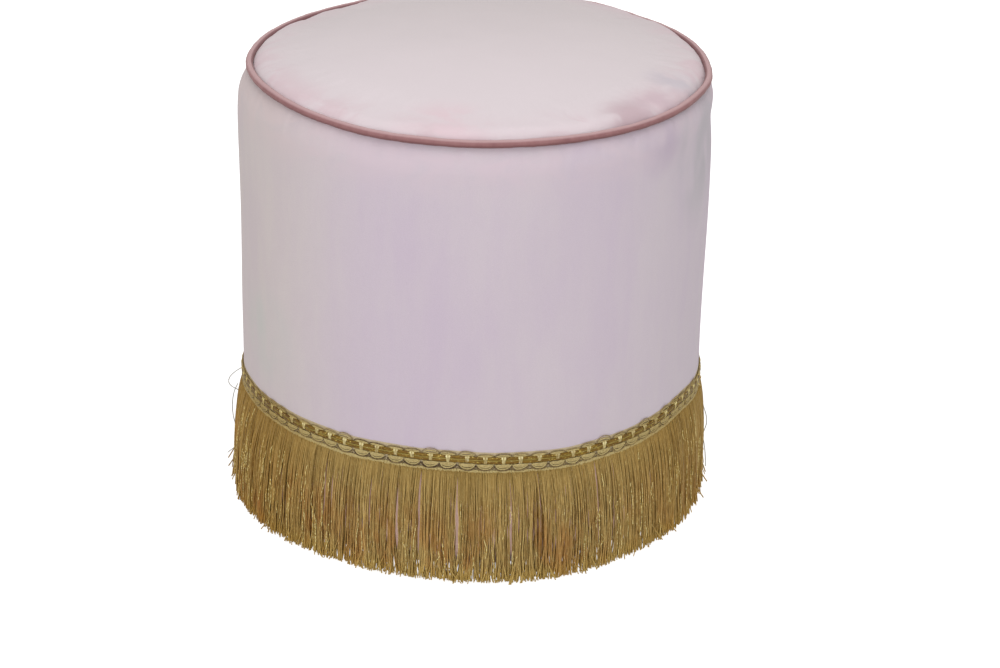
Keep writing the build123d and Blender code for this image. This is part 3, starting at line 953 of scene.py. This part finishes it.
finishes = {
    "side": side_velvet(),
    "seat": seat_velvet(),
    "piping": piping_velvet(),
    "tape": tape_material(),
    "cord": thread_material(
        "dark_gold_cord", (84, 54, 6), (152, 120, 28), (228, 204, 104),
        tone=0.42, spark_share=0.13, metallic=0.25, scale=(260, 260, 700),
    ),
    "middle": thread_material(
        "bright_gold_cord", (120, 100, 36), (196, 176, 92), (240, 226, 160),
        metallic=0.2, scale=(300, 300, 500),
    ),
    "bar": thread_material(
        "pale_gold_wrap", (150, 122, 56), (240, 230, 172), (255, 252, 226),
        tone="tone", spark_share=0.08, scale=(900, 900, 200),
    ),
    "gimp": thread_material(
        "gimp_thread", (160, 138, 80), (214, 198, 140), (240, 230, 176),
        spark_share=0.06, scale=(800, 800, 800),
    ),
    "gimp_edge": thread_material(
        "gimp_edging", (70, 48, 20), (188, 164, 106), (206, 186, 126),
        tone="tone", spark_share=0.03, metallic=0.0, scale=(800, 800, 800),
    ),
    "glint": thread_material(
        "bright_fringe_thread", (142, 108, 38), (216, 188, 98), (242, 226, 158),
        spark_share=0.24, scale=(500, 500, 260), side_shading=(1, 0.96, 0.86, 1),
    ),
    "fringe": fringe_material(),
    "stray": thread_material(
        "stray_thread", (160, 160, 152), (222, 224, 220), (255, 255, 250), side_shading=(1, 1, 1, 1)
    ),
    "lining": cloth_material("dust_cloth", (20, 20, 22), (46, 46, 50), 900.0),
    "cotton": cloth_material("cotton_cord", (205, 198, 180), (236, 230, 214), 500.0),
    "plywood": wood_material("plywood", (214, 186, 142), (178, 142, 96), (9, 70, 400)),
    "batten": wood_material("pine_batten", (224, 194, 146), (190, 146, 92), (90, 90, 7)),
    "hardboard": wood_material("hardboard", (128, 94, 64), (98, 68, 44), (300, 300, 300)),
    "plastic": plain_material("glide_plastic", (22, 22, 23), (38, 38, 40), 160.0, 0.42),
    "steel": plain_material("zinc_steel", (170, 170, 166), (196, 194, 186), 420.0, 0.34, 0.9),
}

NODE_FINISHES = {
    "plywood": ("base_board", "seat_board"),
    "batten": ("frame_post_1", "frame_post_2", "frame_post_3", "frame_post_4"),
    "hardboard": ("wall_panel",),
    "steel": ("base_screws", "seat_screws", "hem_staples", "dust_cover_staples", "glide_screws"),
    "plastic": ("glide_1", "glide_2", "glide_3", "glide_4"),
}


def finish_nodes():
    """Gives each solid that stays its finish."""
    for finish, nodes in NODE_FINISHES.items():
        for node in nodes:
            for place in bpy.data.objects[node].material_slots:
                place.material = finishes[finish]


# Upholstery
def outward_normals(profile):
    """Unit normals of a half section that is drawn clockwise, pointing out of it."""
    along = unit(np.gradient(profile, axis=0))
    return np.stack([-along[:, 1], along[:, 0]], 1)


def cover_angles(count):
    """Angles round the drum, with more of them across the seam at the back."""
    even = even_angles(count)
    beside_seam = BACK + np.linspace(-SEAM_BAND, SEAM_BAND, SEAM_COLUMNS)
    return np.sort(np.concatenate([even[np.abs(even - BACK) > SEAM_CLEAR], beside_seam]))


def pressed(start):
    """How velvet sewn at its first and last rows moves when the padding presses on it.

    Blender's cloth puckers it with a little spare length. The mean move of each row is taken off,
    so the section stays the one that the picture shows.
    """
    rows, columns = start.shape[:2]
    mesh = bpy.data.meshes.new("pressed_velvet")
    mesh.from_pydata(start.reshape(-1, 3).tolist(), [], grid_faces(rows, columns).tolist())
    panel = placed("pressed_velvet", mesh)
    scene = bpy.context.scene
    ends = np.add.outer((0, (rows - 1) * columns), np.arange(columns))
    sewn = panel.vertex_groups.new(name="sewn")
    sewn.add(ends.ravel().tolist(), 1.0, "REPLACE")
    cloth = panel.modifiers.new("cloth", "CLOTH")
    cloth.collision_settings.use_collision = False
    fabric = cloth.settings
    fabric.vertex_group_mass = sewn.name
    fabric.quality = 5
    fabric.mass = 0.2
    fabric.tension_stiffness = fabric.compression_stiffness = 15
    fabric.shear_stiffness = 5
    fabric.bending_stiffness = 0.1
    fabric.use_pressure = True
    fabric.uniform_pressure_force = PRESS_FORCE
    fabric.shrink_min = -SPARE_CLOTH
    fabric.effector_weights.gravity = 0
    for number in range(1, PRESS_FRAMES + 1):
        scene.frame_set(number)
    shaped = panel.evaluated_get(bpy.context.evaluated_depsgraph_get())
    ended = np.empty(start.size)
    shaped.to_mesh().vertices.foreach_get("co", ended)
    shaped.to_mesh_clear()
    bpy.data.objects.remove(panel)
    scene.frame_set(1)
    moves = ended.reshape(start.shape) - start
    outward = unit(start * (1, 1, 0))
    mean_out = (moves * outward).sum(-1).mean(1)[:, None, None] * outward
    mean_up = moves[..., 2].mean(1)[:, None, None] * (0, 0, 1)
    moves = PRESS_SHARE * (moves - mean_out - mean_up)
    length = np.linalg.norm(moves, axis=-1, keepdims=True)
    return moves * np.minimum(1, MOST_PRESSED / np.maximum(length, 1e-9))


def padded_piece(name, look, replaced, angles, skin, inner, lift, rise, slip, calm=None):
    """A closed padded form: an inner section, and a skin that lift, rise and slip move.

    calm is the number of rows in the middle of a skin that the cloth simulation leaves alone.
    """
    moved = skin[:, None] + outward_normals(skin)[:, None] * lift[:, :, None]
    moved[..., 1] += rise
    section = np.concatenate([moved, np.repeat(inner[:, None], len(angles), 1)])
    points = on_circle(section[..., 0], section[..., 1], angles[None])
    points[: len(skin)] += seat_slip(slip)
    if calm:
        points[calm - 1 : len(skin)] += pressed(points[calm - 1 : len(skin)])
    faces = grid_faces(len(section), len(angles), close_rows=True).tolist()
    piece = mesh_piece(name, points, faces, [look], "velvet", replaced)
    weld(piece.data)


def side_upholstery():
    """The velvet side over its foam, with a seam at the back and its hem turned under."""
    angles = cover_angles(SKIN_COLUMNS)
    around = angles[None]
    outer = side_profile()
    fold = outer[-1][0]
    hem = np.linspace(fold, HEM_INNER_RADIUS, HEM_ROWS)[1:]
    skin = np.concatenate([outer, np.stack([hem, np.full(len(hem), HEM_BOTTOM)], 1)])
    radius, height = skin[:, :1], skin[:, 1:]
    from_seam = SEAM_HEIGHT - height
    soft = SIDE_WAVES * closed_wave(around, (2, 3, 5, 7), 21)
    soft = soft * np.sin(pi * np.clip(from_seam / SOFT_REACH, 0, 1))
    drift = SIDE_DRIFT * np.sin(height * 34 + closed_wave(around, (3, 4, 7), 22) * 3)
    puckers = closed_wave(around, (41, 58, 73, 97), 23) + 0.6 * closed_wave(around, (118, 149), 24)
    puckers = PUCKER_HEIGHT * puckers * bell(from_seam, PUCKER_MIDDLE, PUCKER_WIDTH)
    aside = (around - BACK) * BODY_RADIUS
    ridge = GROOVE_RIDGE * bell(aside, 0, GROOVE_RIDGE_WIDTH)
    groove = ridge - GROOVE_DEPTH * bell(aside, 0, GROOVE_WIDTH)
    groove = groove * np.clip(from_seam / GROOVE_START, 0, 1)
    # The tape holds the velvet down, and the hem is pleated underneath
    band_half = (HEADING_TOP - HEADING_BOTTOM) / 2
    from_band = np.abs(height - HEADING_BOTTOM - band_half - heading_lift(around)) - band_half
    held = np.clip(-from_band / TAPE_EDGE_ROLL, 0, 1)
    held = held**2 * (3 - 2 * held)
    free = np.clip(from_band / CALM_REACH, 0, 1)
    pleats = PLEAT_HEIGHT * closed_wave(around, (52, 67, 88), 25)
    pleats = pleats * np.clip((fold - radius) / PLEAT_START, 0, 1)
    under = (radius < fold - HEM_BEND) & (height < HEM_BOTTOM + HEM_BEND)
    lift = np.where(under, pleats, (soft + drift) * free + puckers + groove)
    flatter = swells(around, SHOULDER_SWELLS)
    lift = lift + flatter * bell(from_seam, SHOULDER_MIDDLE, SHOULDER_WIDTH)
    lift = (lift - TAPE_THICKNESS * held) * np.clip(from_seam / SEAM_HOLD, 0, 1)
    lift[-1] = 0
    rise = swells(around, SEAM_SWELLS) * bell(from_seam, 0, SIDE_TAKE_UP)
    slip = bell(from_seam, 0, SLIP_FADE)
    foot = [(HEM_INNER_RADIUS, BOARD_BOTTOM), (WALL_RADIUS, BOARD_BOTTOM)]
    inner = np.array([*foot, (WALL_RADIUS, SEAT_BOARD_TOP)])
    replaced = ("side_cover", "side_foam")
    padded_piece("side_upholstery", "side", replaced, angles, skin, inner, lift, rise, slip)


def seat_upholstery():
    """The domed velvet seat over its wadding and foam."""
    angles = even_angles(SKIN_COLUMNS)
    around = angles[None]
    skin = crown_profile()
    radius = skin[:, :1]
    from_seam = seam_radius - radius
    waves = closed_wave(around, (2, 3, 4), 31) * np.sin(pi * np.clip(radius / seam_radius, 0, 1))
    fuller = swells(around, SEAT_RIM_SWELLS) * bell(from_seam, SEAT_RIM_MIDDLE, SEAT_RIM_WIDTH)
    lift = (SEAT_WAVES * waves + fuller) * np.clip(from_seam / SEAM_HOLD, 0, 1)
    rise = swells(around, SEAM_SWELLS) * bell(from_seam, 0, SEAT_TAKE_UP)
    slip = np.ones_like(radius)
    inner = np.array([(WALL_RADIUS, SEAT_BOARD_TOP), (0, SEAT_BOARD_TOP)])
    replaced = ("seat_cover", "seat_wadding", "seat_foam")
    padded_piece(
        "seat_upholstery", "seat", replaced, angles, skin, inner, lift, rise, slip, CALM_ROWS
    )


def piping():
    """The rose strip folded round its cord, a little uneven as it is sewn."""
    angles = even_angles(PIPING_STEPS)
    radius = piping_centre[0] + PIPING_SWAY * closed_wave(angles, (3, 5, 7, 11, 17), 41)
    height = piping_centre[1] + swells(angles, SEAM_SWELLS)
    height = height + PIPING_DIPS * closed_wave(angles, (5, 8, 13), 42)
    thick = PIPING_RADIUS * (1 + PIPING_THICKENING * closed_wave(angles, (9, 23, 38, 61), 43))
    thick = thick * (1 + PIPING_RIPPLE * closed_wave(angles, (141, 187), 44))
    path = on_circle(radius, height, angles)[None]
    sides = 20
    points, faces = tubes(path, thick[None], sides, closed=True)
    radius, height, thick = [np.repeat(values, sides) for values in (radius, height, thick)]
    # How far up and out each point lies round the tube; the material paints highlight and shade by
    # these
    upward = (points[:, 2] - height) / thick
    apart = np.hypot(points[:, 0], points[:, 1]) - radius
    outward = upward * sin(SEAM_ANGLE) + apart / thick * cos(SEAM_ANGLE)
    mesh_piece(
        "piping", points + seat_slip(1), faces, ["piping"], "piping_satin", ("piping_casing",),
        upward=upward, outward=outward,
    )
    thread_piece(
        "filler_cord", path[:, ::3] + seat_slip(1), FILLER_RADIUS, 8, "cotton", "cotton_cord",
        ("piping_cord",), closed=True,
    )


# Heading
def heading_tape():
    """The woven tape that carries the heading, with a rolled upper edge."""
    angles = even_angles(TAPE_COLUMNS)
    bottom, top = HEADING_BOTTOM, HEADING_TOP
    inner, outer = TAPE_OUTER - TAPE_THICKNESS, TAPE_OUTER
    edge = TAPE_THICKNESS / 2
    roll = arc((outer - edge, top - edge), edge, 0, pi, 7)
    section = np.concatenate([[(inner, bottom), (outer, bottom)], roll])
    radius, level = section[:, :1], section[:, 1:]
    frayed = TAPE_FRAY * closed_wave(angles, (97, 131, 176, 222), 51)
    height = level + heading_lift(angles) + np.where(level > top - TAPE_THICKNESS, frayed, 0)
    points = on_circle(radius, height, angles[None])
    faces = grid_faces(len(section), len(angles), close_rows=True)[:, ::-1].tolist()
    mesh_piece("heading_band", points, faces, ["tape"], "tape", ("heading_tape",))


def bar_angles():
    """The middle of each scallop, with the small unevenness of braid."""
    draws = np.random.default_rng(52)
    return -BACK + (np.arange(SCALLOPS) + draws.uniform(-0.06, 0.06, SCALLOPS)) * TURN / SCALLOPS


def cord_ring(height, radius, thread, seed):
    """Path of a cord that is laid round the tape and pinched under each bar."""
    angles = even_angles(SCALLOPS * CORD_STEPS_PER_LOBE)
    between = np.cos((angles + BACK) * SCALLOPS)
    fat = thread * (0.99 - CORD_PINCH * between + 0.02 * closed_wave(angles, (61, 173), seed))
    centre = radius - CORD_SINKING * between
    wander = CORD_WANDER * closed_wave(angles, (29, 53, 71), seed + 1)
    level = height + heading_lift(angles) + wander
    return on_circle(centre, level, angles)[None], fat[None]


def heading_cords():
    """Two thick dark gold cords along the tape, with a fine bright one between them."""
    for name, side in (("upper", 1), ("lower", -1)):
        level = CORD_HEIGHT + side * CORD_SPACING / 2
        laid = cord_ring(level, TAPE_OUTER + CORD_RADIUS * CORD_FLATNESS, CORD_RADIUS, 61 + side)
        thread_piece(
            f"{name}_cord", *laid, 12, "cord", "gold_cord", (f"{name}_heading_cord",),
            closed=True, flatness=CORD_FLATNESS,
        )
    laid = cord_ring(CORD_HEIGHT, TAPE_OUTER + 0.9 * CORD_RADIUS, 0.3 * CORD_RADIUS, 66)
    thread_piece("middle_cord", *laid, 6, "middle", "gold_cord", closed=True)


def heading_bars():
    """Wraps of pale thread that hold the two cords down, each with a double knot at its top."""
    draws = np.random.default_rng(71)
    threads = 3
    sides = 7

    def per_thread(values):
        return np.repeat(values, threads)[:, None]

    middles = per_thread(bar_angles())
    across = np.tile((-0.5, 0.0, 0.5), SCALLOPS)[:, None] * BAR_WIDTH * 0.56
    share = np.linspace(0, 1, BAR_STEPS)[None]
    size = per_thread(draws.uniform(0.88, 1.1, SCALLOPS))
    knotted = np.tile((1.0, 0.0, 1.0), SCALLOPS)[:, None] * size
    height = CORD_HEIGHT + BAR_HEIGHT / 2 - BAR_HEIGHT * share * size + heading_lift(middles)
    knot = bell(share, 0.18, 0.15) * knotted
    radius = TAPE_OUTER + 0.0003 + BAR_ARCH * np.sin(pi * share) ** 0.5 + 0.0002 * knot
    radius = radius + draws.uniform(-0.0001, 0.0001, (len(middles), 1))
    lean = per_thread(draws.uniform(-0.0006, 0.0006, SCALLOPS))
    sideways = across * (1 + 0.1 * knot - 0.25 * share) + lean * (share - 0.5)
    path = on_circle(radius, height, middles + sideways / TAPE_OUTER)
    glow = per_thread(draws.uniform(0.45, 1.1, SCALLOPS))
    # The knots are painted paler: pale thread, and partly a painted highlight on them; glow is a
    # random tone per bar
    tone = np.repeat(np.clip((0.48 + 0.52 * knot) * glow, 0, 1)[..., None], sides, 2)
    thread_piece(
        "cord_wraps", path, BAR_RADIUS + KNOT_RADIUS * knot, sides, "bar", "gold_wrap",
        ("heading_bars",), {"tone": tone}, flatness=0.75,
    )


def gimp_lobes(base, rise, shares, seed, evenness, hem):
    """Paths of one thread per share in every lobe, nested from the outline inwards.

    evenness is the least height of a lobe, and hem where its outline ends, as shares of its height.
    """
    draws = np.random.default_rng(seed)
    middles = bar_angles()[:, None]
    half = TURN / SCALLOPS / 2 * TAPE_OUTER
    tall = evenness + (1 - evenness) * draws.uniform(0, 1, (SCALLOPS, 1)) ** 2.6
    skew = draws.uniform(-0.26, 0.12, (SCALLOPS, 1))
    swing = np.linspace(-1, 1, 17)[None]
    arch = (1 - np.abs(swing) ** 2.6) ** 0.75 * (1 + skew * swing)
    paths = []
    for share in shares:
        outline = share == shares[0]
        reach = half * (0.985 if outline else 0.55 + 0.4 * share)
        bow = hem + (1 - hem) * arch if outline else arch
        height = base + rise * share * tall * bow + heading_lift(middles)
        radius = TAPE_OUTER + 0.0007 + 0.0006 * (1 - share) * bow
        paths.append(on_circle(radius, height, middles + swing * reach / TAPE_OUTER))
    return paths


def gimp_edge(name, node, base, rise, rows, seed, evenness, hem, pallor):
    """A row of gimp lobes, with the values that GIMP_ROWS lists."""
    draws = np.random.default_rng(seed + 1)
    shares, radii, dark = zip(*rows)
    paths = gimp_lobes(base, rise, shares, seed, evenness, hem)
    paths[0][..., 2] += np.sign(rise) * draws.uniform(0.0, 0.0005, (SCALLOPS, 1))
    threads = [tubes(path, radius, 6) for path, radius in zip(paths, radii)]
    points, faces = joined(threads)
    shades = np.repeat([0 if shade else 1 for shade in dark], [len(part[1]) for part in threads])
    faded = draws.uniform(*pallor, SCALLOPS) - swells(bar_angles(), DARK_LOBES)
    tone = np.concatenate([np.repeat(faded, len(part[0]) // SCALLOPS) for part in threads])
    looks = ["gimp_edge", "gimp"]
    mesh_piece(name, points, faces, looks, "gimp", (node,), face_materials=shades, tone=tone)


def foot_stitches():
    """The row of close stitches that holds the fringe to the foot of the tape."""
    angles = even_angles(STITCHES)[:, None]
    steps = np.linspace(0, 1, 5)[None]
    draws = np.random.default_rng(81)
    ragged = draws.uniform(0, 0.0006, (STITCHES, 1))
    height = STITCH_TOP - (STITCH_HEIGHT + ragged) * steps + heading_lift(angles)
    radius = TAPE_OUTER + 0.0004 + 0.0004 * np.sin(pi * steps)
    lean = draws.uniform(-0.0006, 0.0006, (STITCHES, 1)) * (steps - 0.5)
    path = on_circle(radius, height, angles + lean / TAPE_OUTER)
    thread_piece("foot_stitches", path, STITCH_RADIUS, 6, "gimp", "tape", flatness=0.6)


# Fringe
def fringe_flare(drop, angles):
    """How far the outermost threads stand out from their roots, at a drop below them."""
    reach = FRINGE_FLARE + swells(angles, FLARE_SWELLS)
    return reach * (1 - np.exp(-drop / (FRINGE_FLARE_DROP + swells(angles, LOW_FLARE_SWELLS))))


def parted(angles):
    """How far threads move sideways where the fringe parts."""
    draws = np.random.default_rng(98)
    moved = np.zeros_like(angles)
    for azimuth in draws.uniform(0, TURN, PARTINGS):
        apart = angle_apart(angles, azimuth)
        opening = LEAST_PARTING + PARTING_SPREAD * draws.uniform(0, 1) ** 1.3
        moved += np.sign(apart) * opening * np.exp(-np.abs(apart) / PARTING_WIDTH)
    return moved


def fringe_paths(angles, draws):
    """Paths of hanging threads, from the tape's foot out and down to ragged tips.

    Gives also how far out each thread's root lies, and how far down each point of a thread is, as
    shares.
    """
    each = angles.shape
    share = np.linspace(0, 1, THREAD_STEPS)[None] ** 0.85
    layer = draws.uniform(0, 1, each)
    chance = draws.uniform(0, 1, each)
    root = TAPE_OUTER - 0.0004 + 0.0009 * layer
    top = FRINGE_ROOT + heading_lift(angles) - draws.uniform(0, 0.001, each)
    tip = TIP_HEIGHT - TIP_CUT_LONGER * swells(angles, LONG_SWELLS)
    tip = tip + TIP_WAVES * closed_wave(angles, (47, 83, 121), 91)
    tip = tip + draws.normal(0, TIP_SPREAD, each)
    tip = tip + np.where(chance > FULL_LENGTH_SHARE, draws.uniform(0.001, 0.008, each), 0)
    tip = np.maximum(tip, draws.uniform(0.0005, 0.0014, each))
    height = top + (tip - top) * share
    fullness = 0.38 + 0.62 * layer**0.6
    flare = fullness * fringe_flare(top - height, angles)
    billow = BILLOW * closed_wave(angles, (31, 57, 79), 92) * share
    scatter = draws.normal(0, SCATTER, each) * share
    radius = root + flare + billow + scatter - TIP_TUCK * share**3 * fullness
    clump = CLUMPS * closed_wave(angles, (59, 83, 107, 139), 93)
    clump = clump + DRIFT * closed_wave(angles, (21, 34), 94) + draws.normal(0, STRAYING, each)
    sideways = clump * share**1.5 + draws.normal(0, TIP_STRAYING, each) * share**6
    opened = parted(angles) + LOCK_DRAW * closed_wave(angles, LOCKS, 99)
    sideways = sideways + opened * 2.1 * share * (1 - share**3)
    for waves in (1, 2, 3):
        start = draws.uniform(0, TURN, each)
        reach = draws.gamma(2.0, 0.00017, each) / waves**0.5
        sway = reach * (np.sin(waves * TURN * share + start) - np.sin(start))
        sideways = sideways + sway * share**0.5
    curl = 0
    for part, spread in (CURLED, MOST_CURLED):
        curl = np.where(chance < part, draws.normal(0, spread, each), curl)
    sideways = sideways + curl * np.clip(share - 0.65, 0, 1) ** 2 * 8
    radius = radius + 0.6 * np.abs(curl) * np.clip(share - 0.8, 0, 1) * 5
    return on_circle(radius, height, angles + sideways / TAPE_OUTER), layer, share


def fringe_sector(number):
    """One stretch of the fringe."""
    draws = np.random.default_rng(100 + number)
    each = (THREADS_PER_SECTOR, 1)
    spread = np.arange(THREADS_PER_SECTOR)[:, None] + draws.uniform(-0.5, 0.5, each)
    width = TURN / FRINGE_SECTORS
    angles = (number + spread / THREADS_PER_SECTOR) * width
    paths, layer, share = fringe_paths(angles, draws)
    sides = 4
    thick = THREAD_RADIUS * draws.uniform(0.75, 1.15, each) * (1 + 0.3 * share**4)
    phase = draws.uniform(0, TURN, THREADS_PER_SECTOR)
    tone = draws.normal(0.46, 0.09, each) + 0.2 * (layer - 0.5)
    tone = tone + 0.08 * closed_wave(angles, (40, 66, 102), 95)
    tone = tone + 0.09 * closed_wave(angles, LOCKS, 89)
    tone = np.where(draws.uniform(0, 1, each) < 0.05, tone + 0.45, tone)
    tone = np.repeat(np.clip(tone, 0, 1), THREAD_STEPS * sides, 1)
    thread_piece(
        f"fringe_{number + 1}", paths, thick, sides, "fringe", "fringe_thread",
        ("fringe_strands",), {"tone": tone}, phase=phase,
    )


def smooth_path(stations, steps):
    """A smooth line of points through a few stations."""
    given = np.array(stations, float)
    along = np.linspace(0, len(given) - 1, steps)
    path = np.stack([np.interp(along, np.arange(len(given)), given[:, i]) for i in range(3)], 1)
    for _ in range(steps):
        path[1:-1] = (path[:-2] + 2 * path[1:-1] + path[2:]) / 4
    return path


def loose_threads():
    """Threads that spring away from the trim at its ends, and pale ones that cross the fringe."""
    steps = 24
    paths = []
    for azimuth, stations in LOOSE_THREADS:
        standing, height, slip = smooth_path(stations, steps).T
        paths.append(on_circle(standing, height, radians(azimuth) + slip))
    sprung = tubes(paths, LOOSE_RADIUS, 6)
    draws = np.random.default_rng(97)
    azimuth = []
    for middle, half, count in CROSSING_GROUPS:
        low, high = radians(middle) - radians(half), radians(middle) + radians(half)
        azimuth.append(draws.uniform(low, high, (count, 1)))
    azimuth = np.concatenate(azimuth)
    each = azimuth.shape
    share = np.linspace(0, 1, steps)[None]
    root = FRINGE_ROOT + heading_lift(azimuth)
    top = root - CROSSING_START * draws.uniform(0, 1, each) ** 0.7
    foot = np.maximum(top - draws.uniform(*CROSSING_DROP, each), CROSSING_LOWEST)
    height = top + (foot - top) * share
    standing = TAPE_OUTER + 0.0006 + fringe_flare(root - height, azimuth)
    lean = draws.normal(0, 0.0016, each) * share
    bow = draws.normal(0, 0.0009, each) * np.sin(pi * share)
    sway = draws.normal(0, 0.0003, each) * np.sin(1.5 * TURN * share)
    paths = on_circle(standing, height, azimuth + (lean + bow + sway) / TAPE_OUTER)
    crossing = tubes(paths, CROSSING_RADIUS, 5)
    points, faces = joined([sprung, crossing])
    # The sides of all threads come first, then one cap of each, then the other
    gold = (np.arange(len(LOOSE_THREADS)) >= GREY_THREADS).astype(int)
    sides = len(sprung[1]) // len(gold) - 2
    shades = [np.repeat(gold, sides), np.tile(gold, 2), np.ones(len(crossing[1]), int)]
    mesh_piece(
        "loose_threads", points, faces, ["stray", "glint"], "fringe_thread",
        face_materials=np.concatenate(shades),
    )


# Underside
def dust_cloth():
    """The black lining stretched under the base and over the hem, drawn in at each staple."""
    low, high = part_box("dust_cover")
    edge, board, foot = high.x, high.z, low.z
    slope_end = HEM_INNER_RADIUS
    flat = np.stack([np.linspace(0, slope_end - CLOTH_SLOPE, 24), np.full(24, board)], 1)
    hem = np.stack([np.linspace(slope_end, edge, 12), np.full(12, foot + CLOTH_THICKNESS)], 1)
    upper = np.concatenate([flat, hem])
    lower = (upper - (0, CLOTH_THICKNESS))[::-1]
    section = np.concatenate([lower, upper])
    radius, height = section[:, :1], section[:, 1:]
    angles = even_angles(CLOTH_COLUMNS)
    middle = np.clip(1 - (radius / CLOTH_SAG_RADIUS) ** 2, 0, 1)
    waves = CLOTH_WAVES * np.clip(radius / CLOTH_CALM_RADIUS, 0, 1)
    sag = middle * (-CLOTH_SAG - waves * closed_wave(angles, (2, 3, 5), 96))
    pull = np.cos(angles * STAPLES)
    tight = np.clip((radius - slope_end) / (edge - slope_end), 0, 1)
    underneath = np.arange(len(section))[:, None] < len(lower)
    puckers = -CLOTH_PUCKER * (1 - pull) * tight * underneath
    aside = CLOTH_PULL * pull * tight**2
    points = on_circle(radius + aside, height + sag + puckers, angles[None])
    faces = grid_faces(len(section), len(angles), close_rows=True).tolist()
    piece = mesh_piece("dust_cloth", points, faces, ["lining"], "lining", ("dust_cover",))
    weld(piece.data)


# Stage, light and camera
def area_light(name, place, size, power, colour):
    """A soft light panel that faces the middle of the drum."""
    data = bpy.data.lights.new(name, "AREA")
    data.shape = "RECTANGLE"
    data.size, data.size_y = size
    data.energy = power
    data.color = colour
    light = placed(name, data)
    light.location = place
    inward = Vector((0, 0, 0.2)) - Vector(place)
    light.rotation_euler = inward.to_track_quat("-Z", "Y").to_euler()


def studio():
    """A white floor that runs out of view, an even white surround and two soft panels."""
    corners = [(-1, -1), (1, -1), (1, 1), (-1, 1)]
    mesh = bpy.data.meshes.new("floor")
    points = [(FLOOR_REACH * x, FLOOR_REACH * y, 0) for x, y in corners]
    mesh.from_pydata(points, [], [(0, 1, 2, 3)])
    floor = placed("floor", mesh)
    material, tree, shader = new_material("white_floor", Roughness=0.9, Specular_IOR_Level=0.1)
    shader["Base Color"].default_value = (0.5, 0.5, 0.5, 1)
    shader["Emission Color"].default_value = (1, 1, 1, 1)
    tree.feed(shader["Emission Strength"], tree.strength_seen(0.4, 0.85))
    mesh.materials.append(material)
    world = bpy.data.worlds.new("surround")
    world.use_nodes = True
    tree = Tree(world.node_tree)
    background = world.node_tree.nodes["Background"].inputs
    background["Color"].default_value = (1.0, 0.99, 0.98, 1)
    tree.feed(background["Strength"], tree.strength_seen(0.62, 1.05))
    bpy.context.scene.world = world
    area_light("front_panel", (-0.3, -2.4, 1.1), (1.4, 1.0), 15.0, (1.0, 0.94, 1.0))
    area_light("top_panel", (0.1, -0.3, 2.4), (1.8, 1.6), 15.0, (1.0, 1.0, 1.0))
    bpy.context.scene.view_settings.view_transform = "Standard"


def camera():
    """The camera where it stood for the picture, with the picture's small tilt."""
    data = bpy.data.cameras.new("camera")
    data.lens = FOCAL_PIXELS / PHOTO_WIDTH * data.sensor_width
    made = placed("camera", data)
    back = Vector((0, -cos(CAMERA_ELEVATION), sin(CAMERA_ELEVATION)))
    level = Vector((1, 0, 0))
    upright = back.cross(level)
    across = level * cos(CAMERA_ROLL) + upright * sin(CAMERA_ROLL)
    up = upright * cos(CAMERA_ROLL) - level * sin(CAMERA_ROLL)
    turn = Matrix((across, up, back)).transposed().to_4x4()
    made.matrix_world = Matrix.Translation(CAMERA_TARGET + back * CAMERA_DISTANCE) @ turn
    bpy.context.scene.camera = made


finish_nodes()
side_upholstery()
seat_upholstery()
piping()
heading_tape()
heading_cords()
heading_bars()
for gimp_row in GIMP_ROWS:
    gimp_edge(*gimp_row)
foot_stitches()
for number in range(FRINGE_SECTORS):
    fringe_sector(number)
loose_threads()
dust_cloth()
studio()
camera()
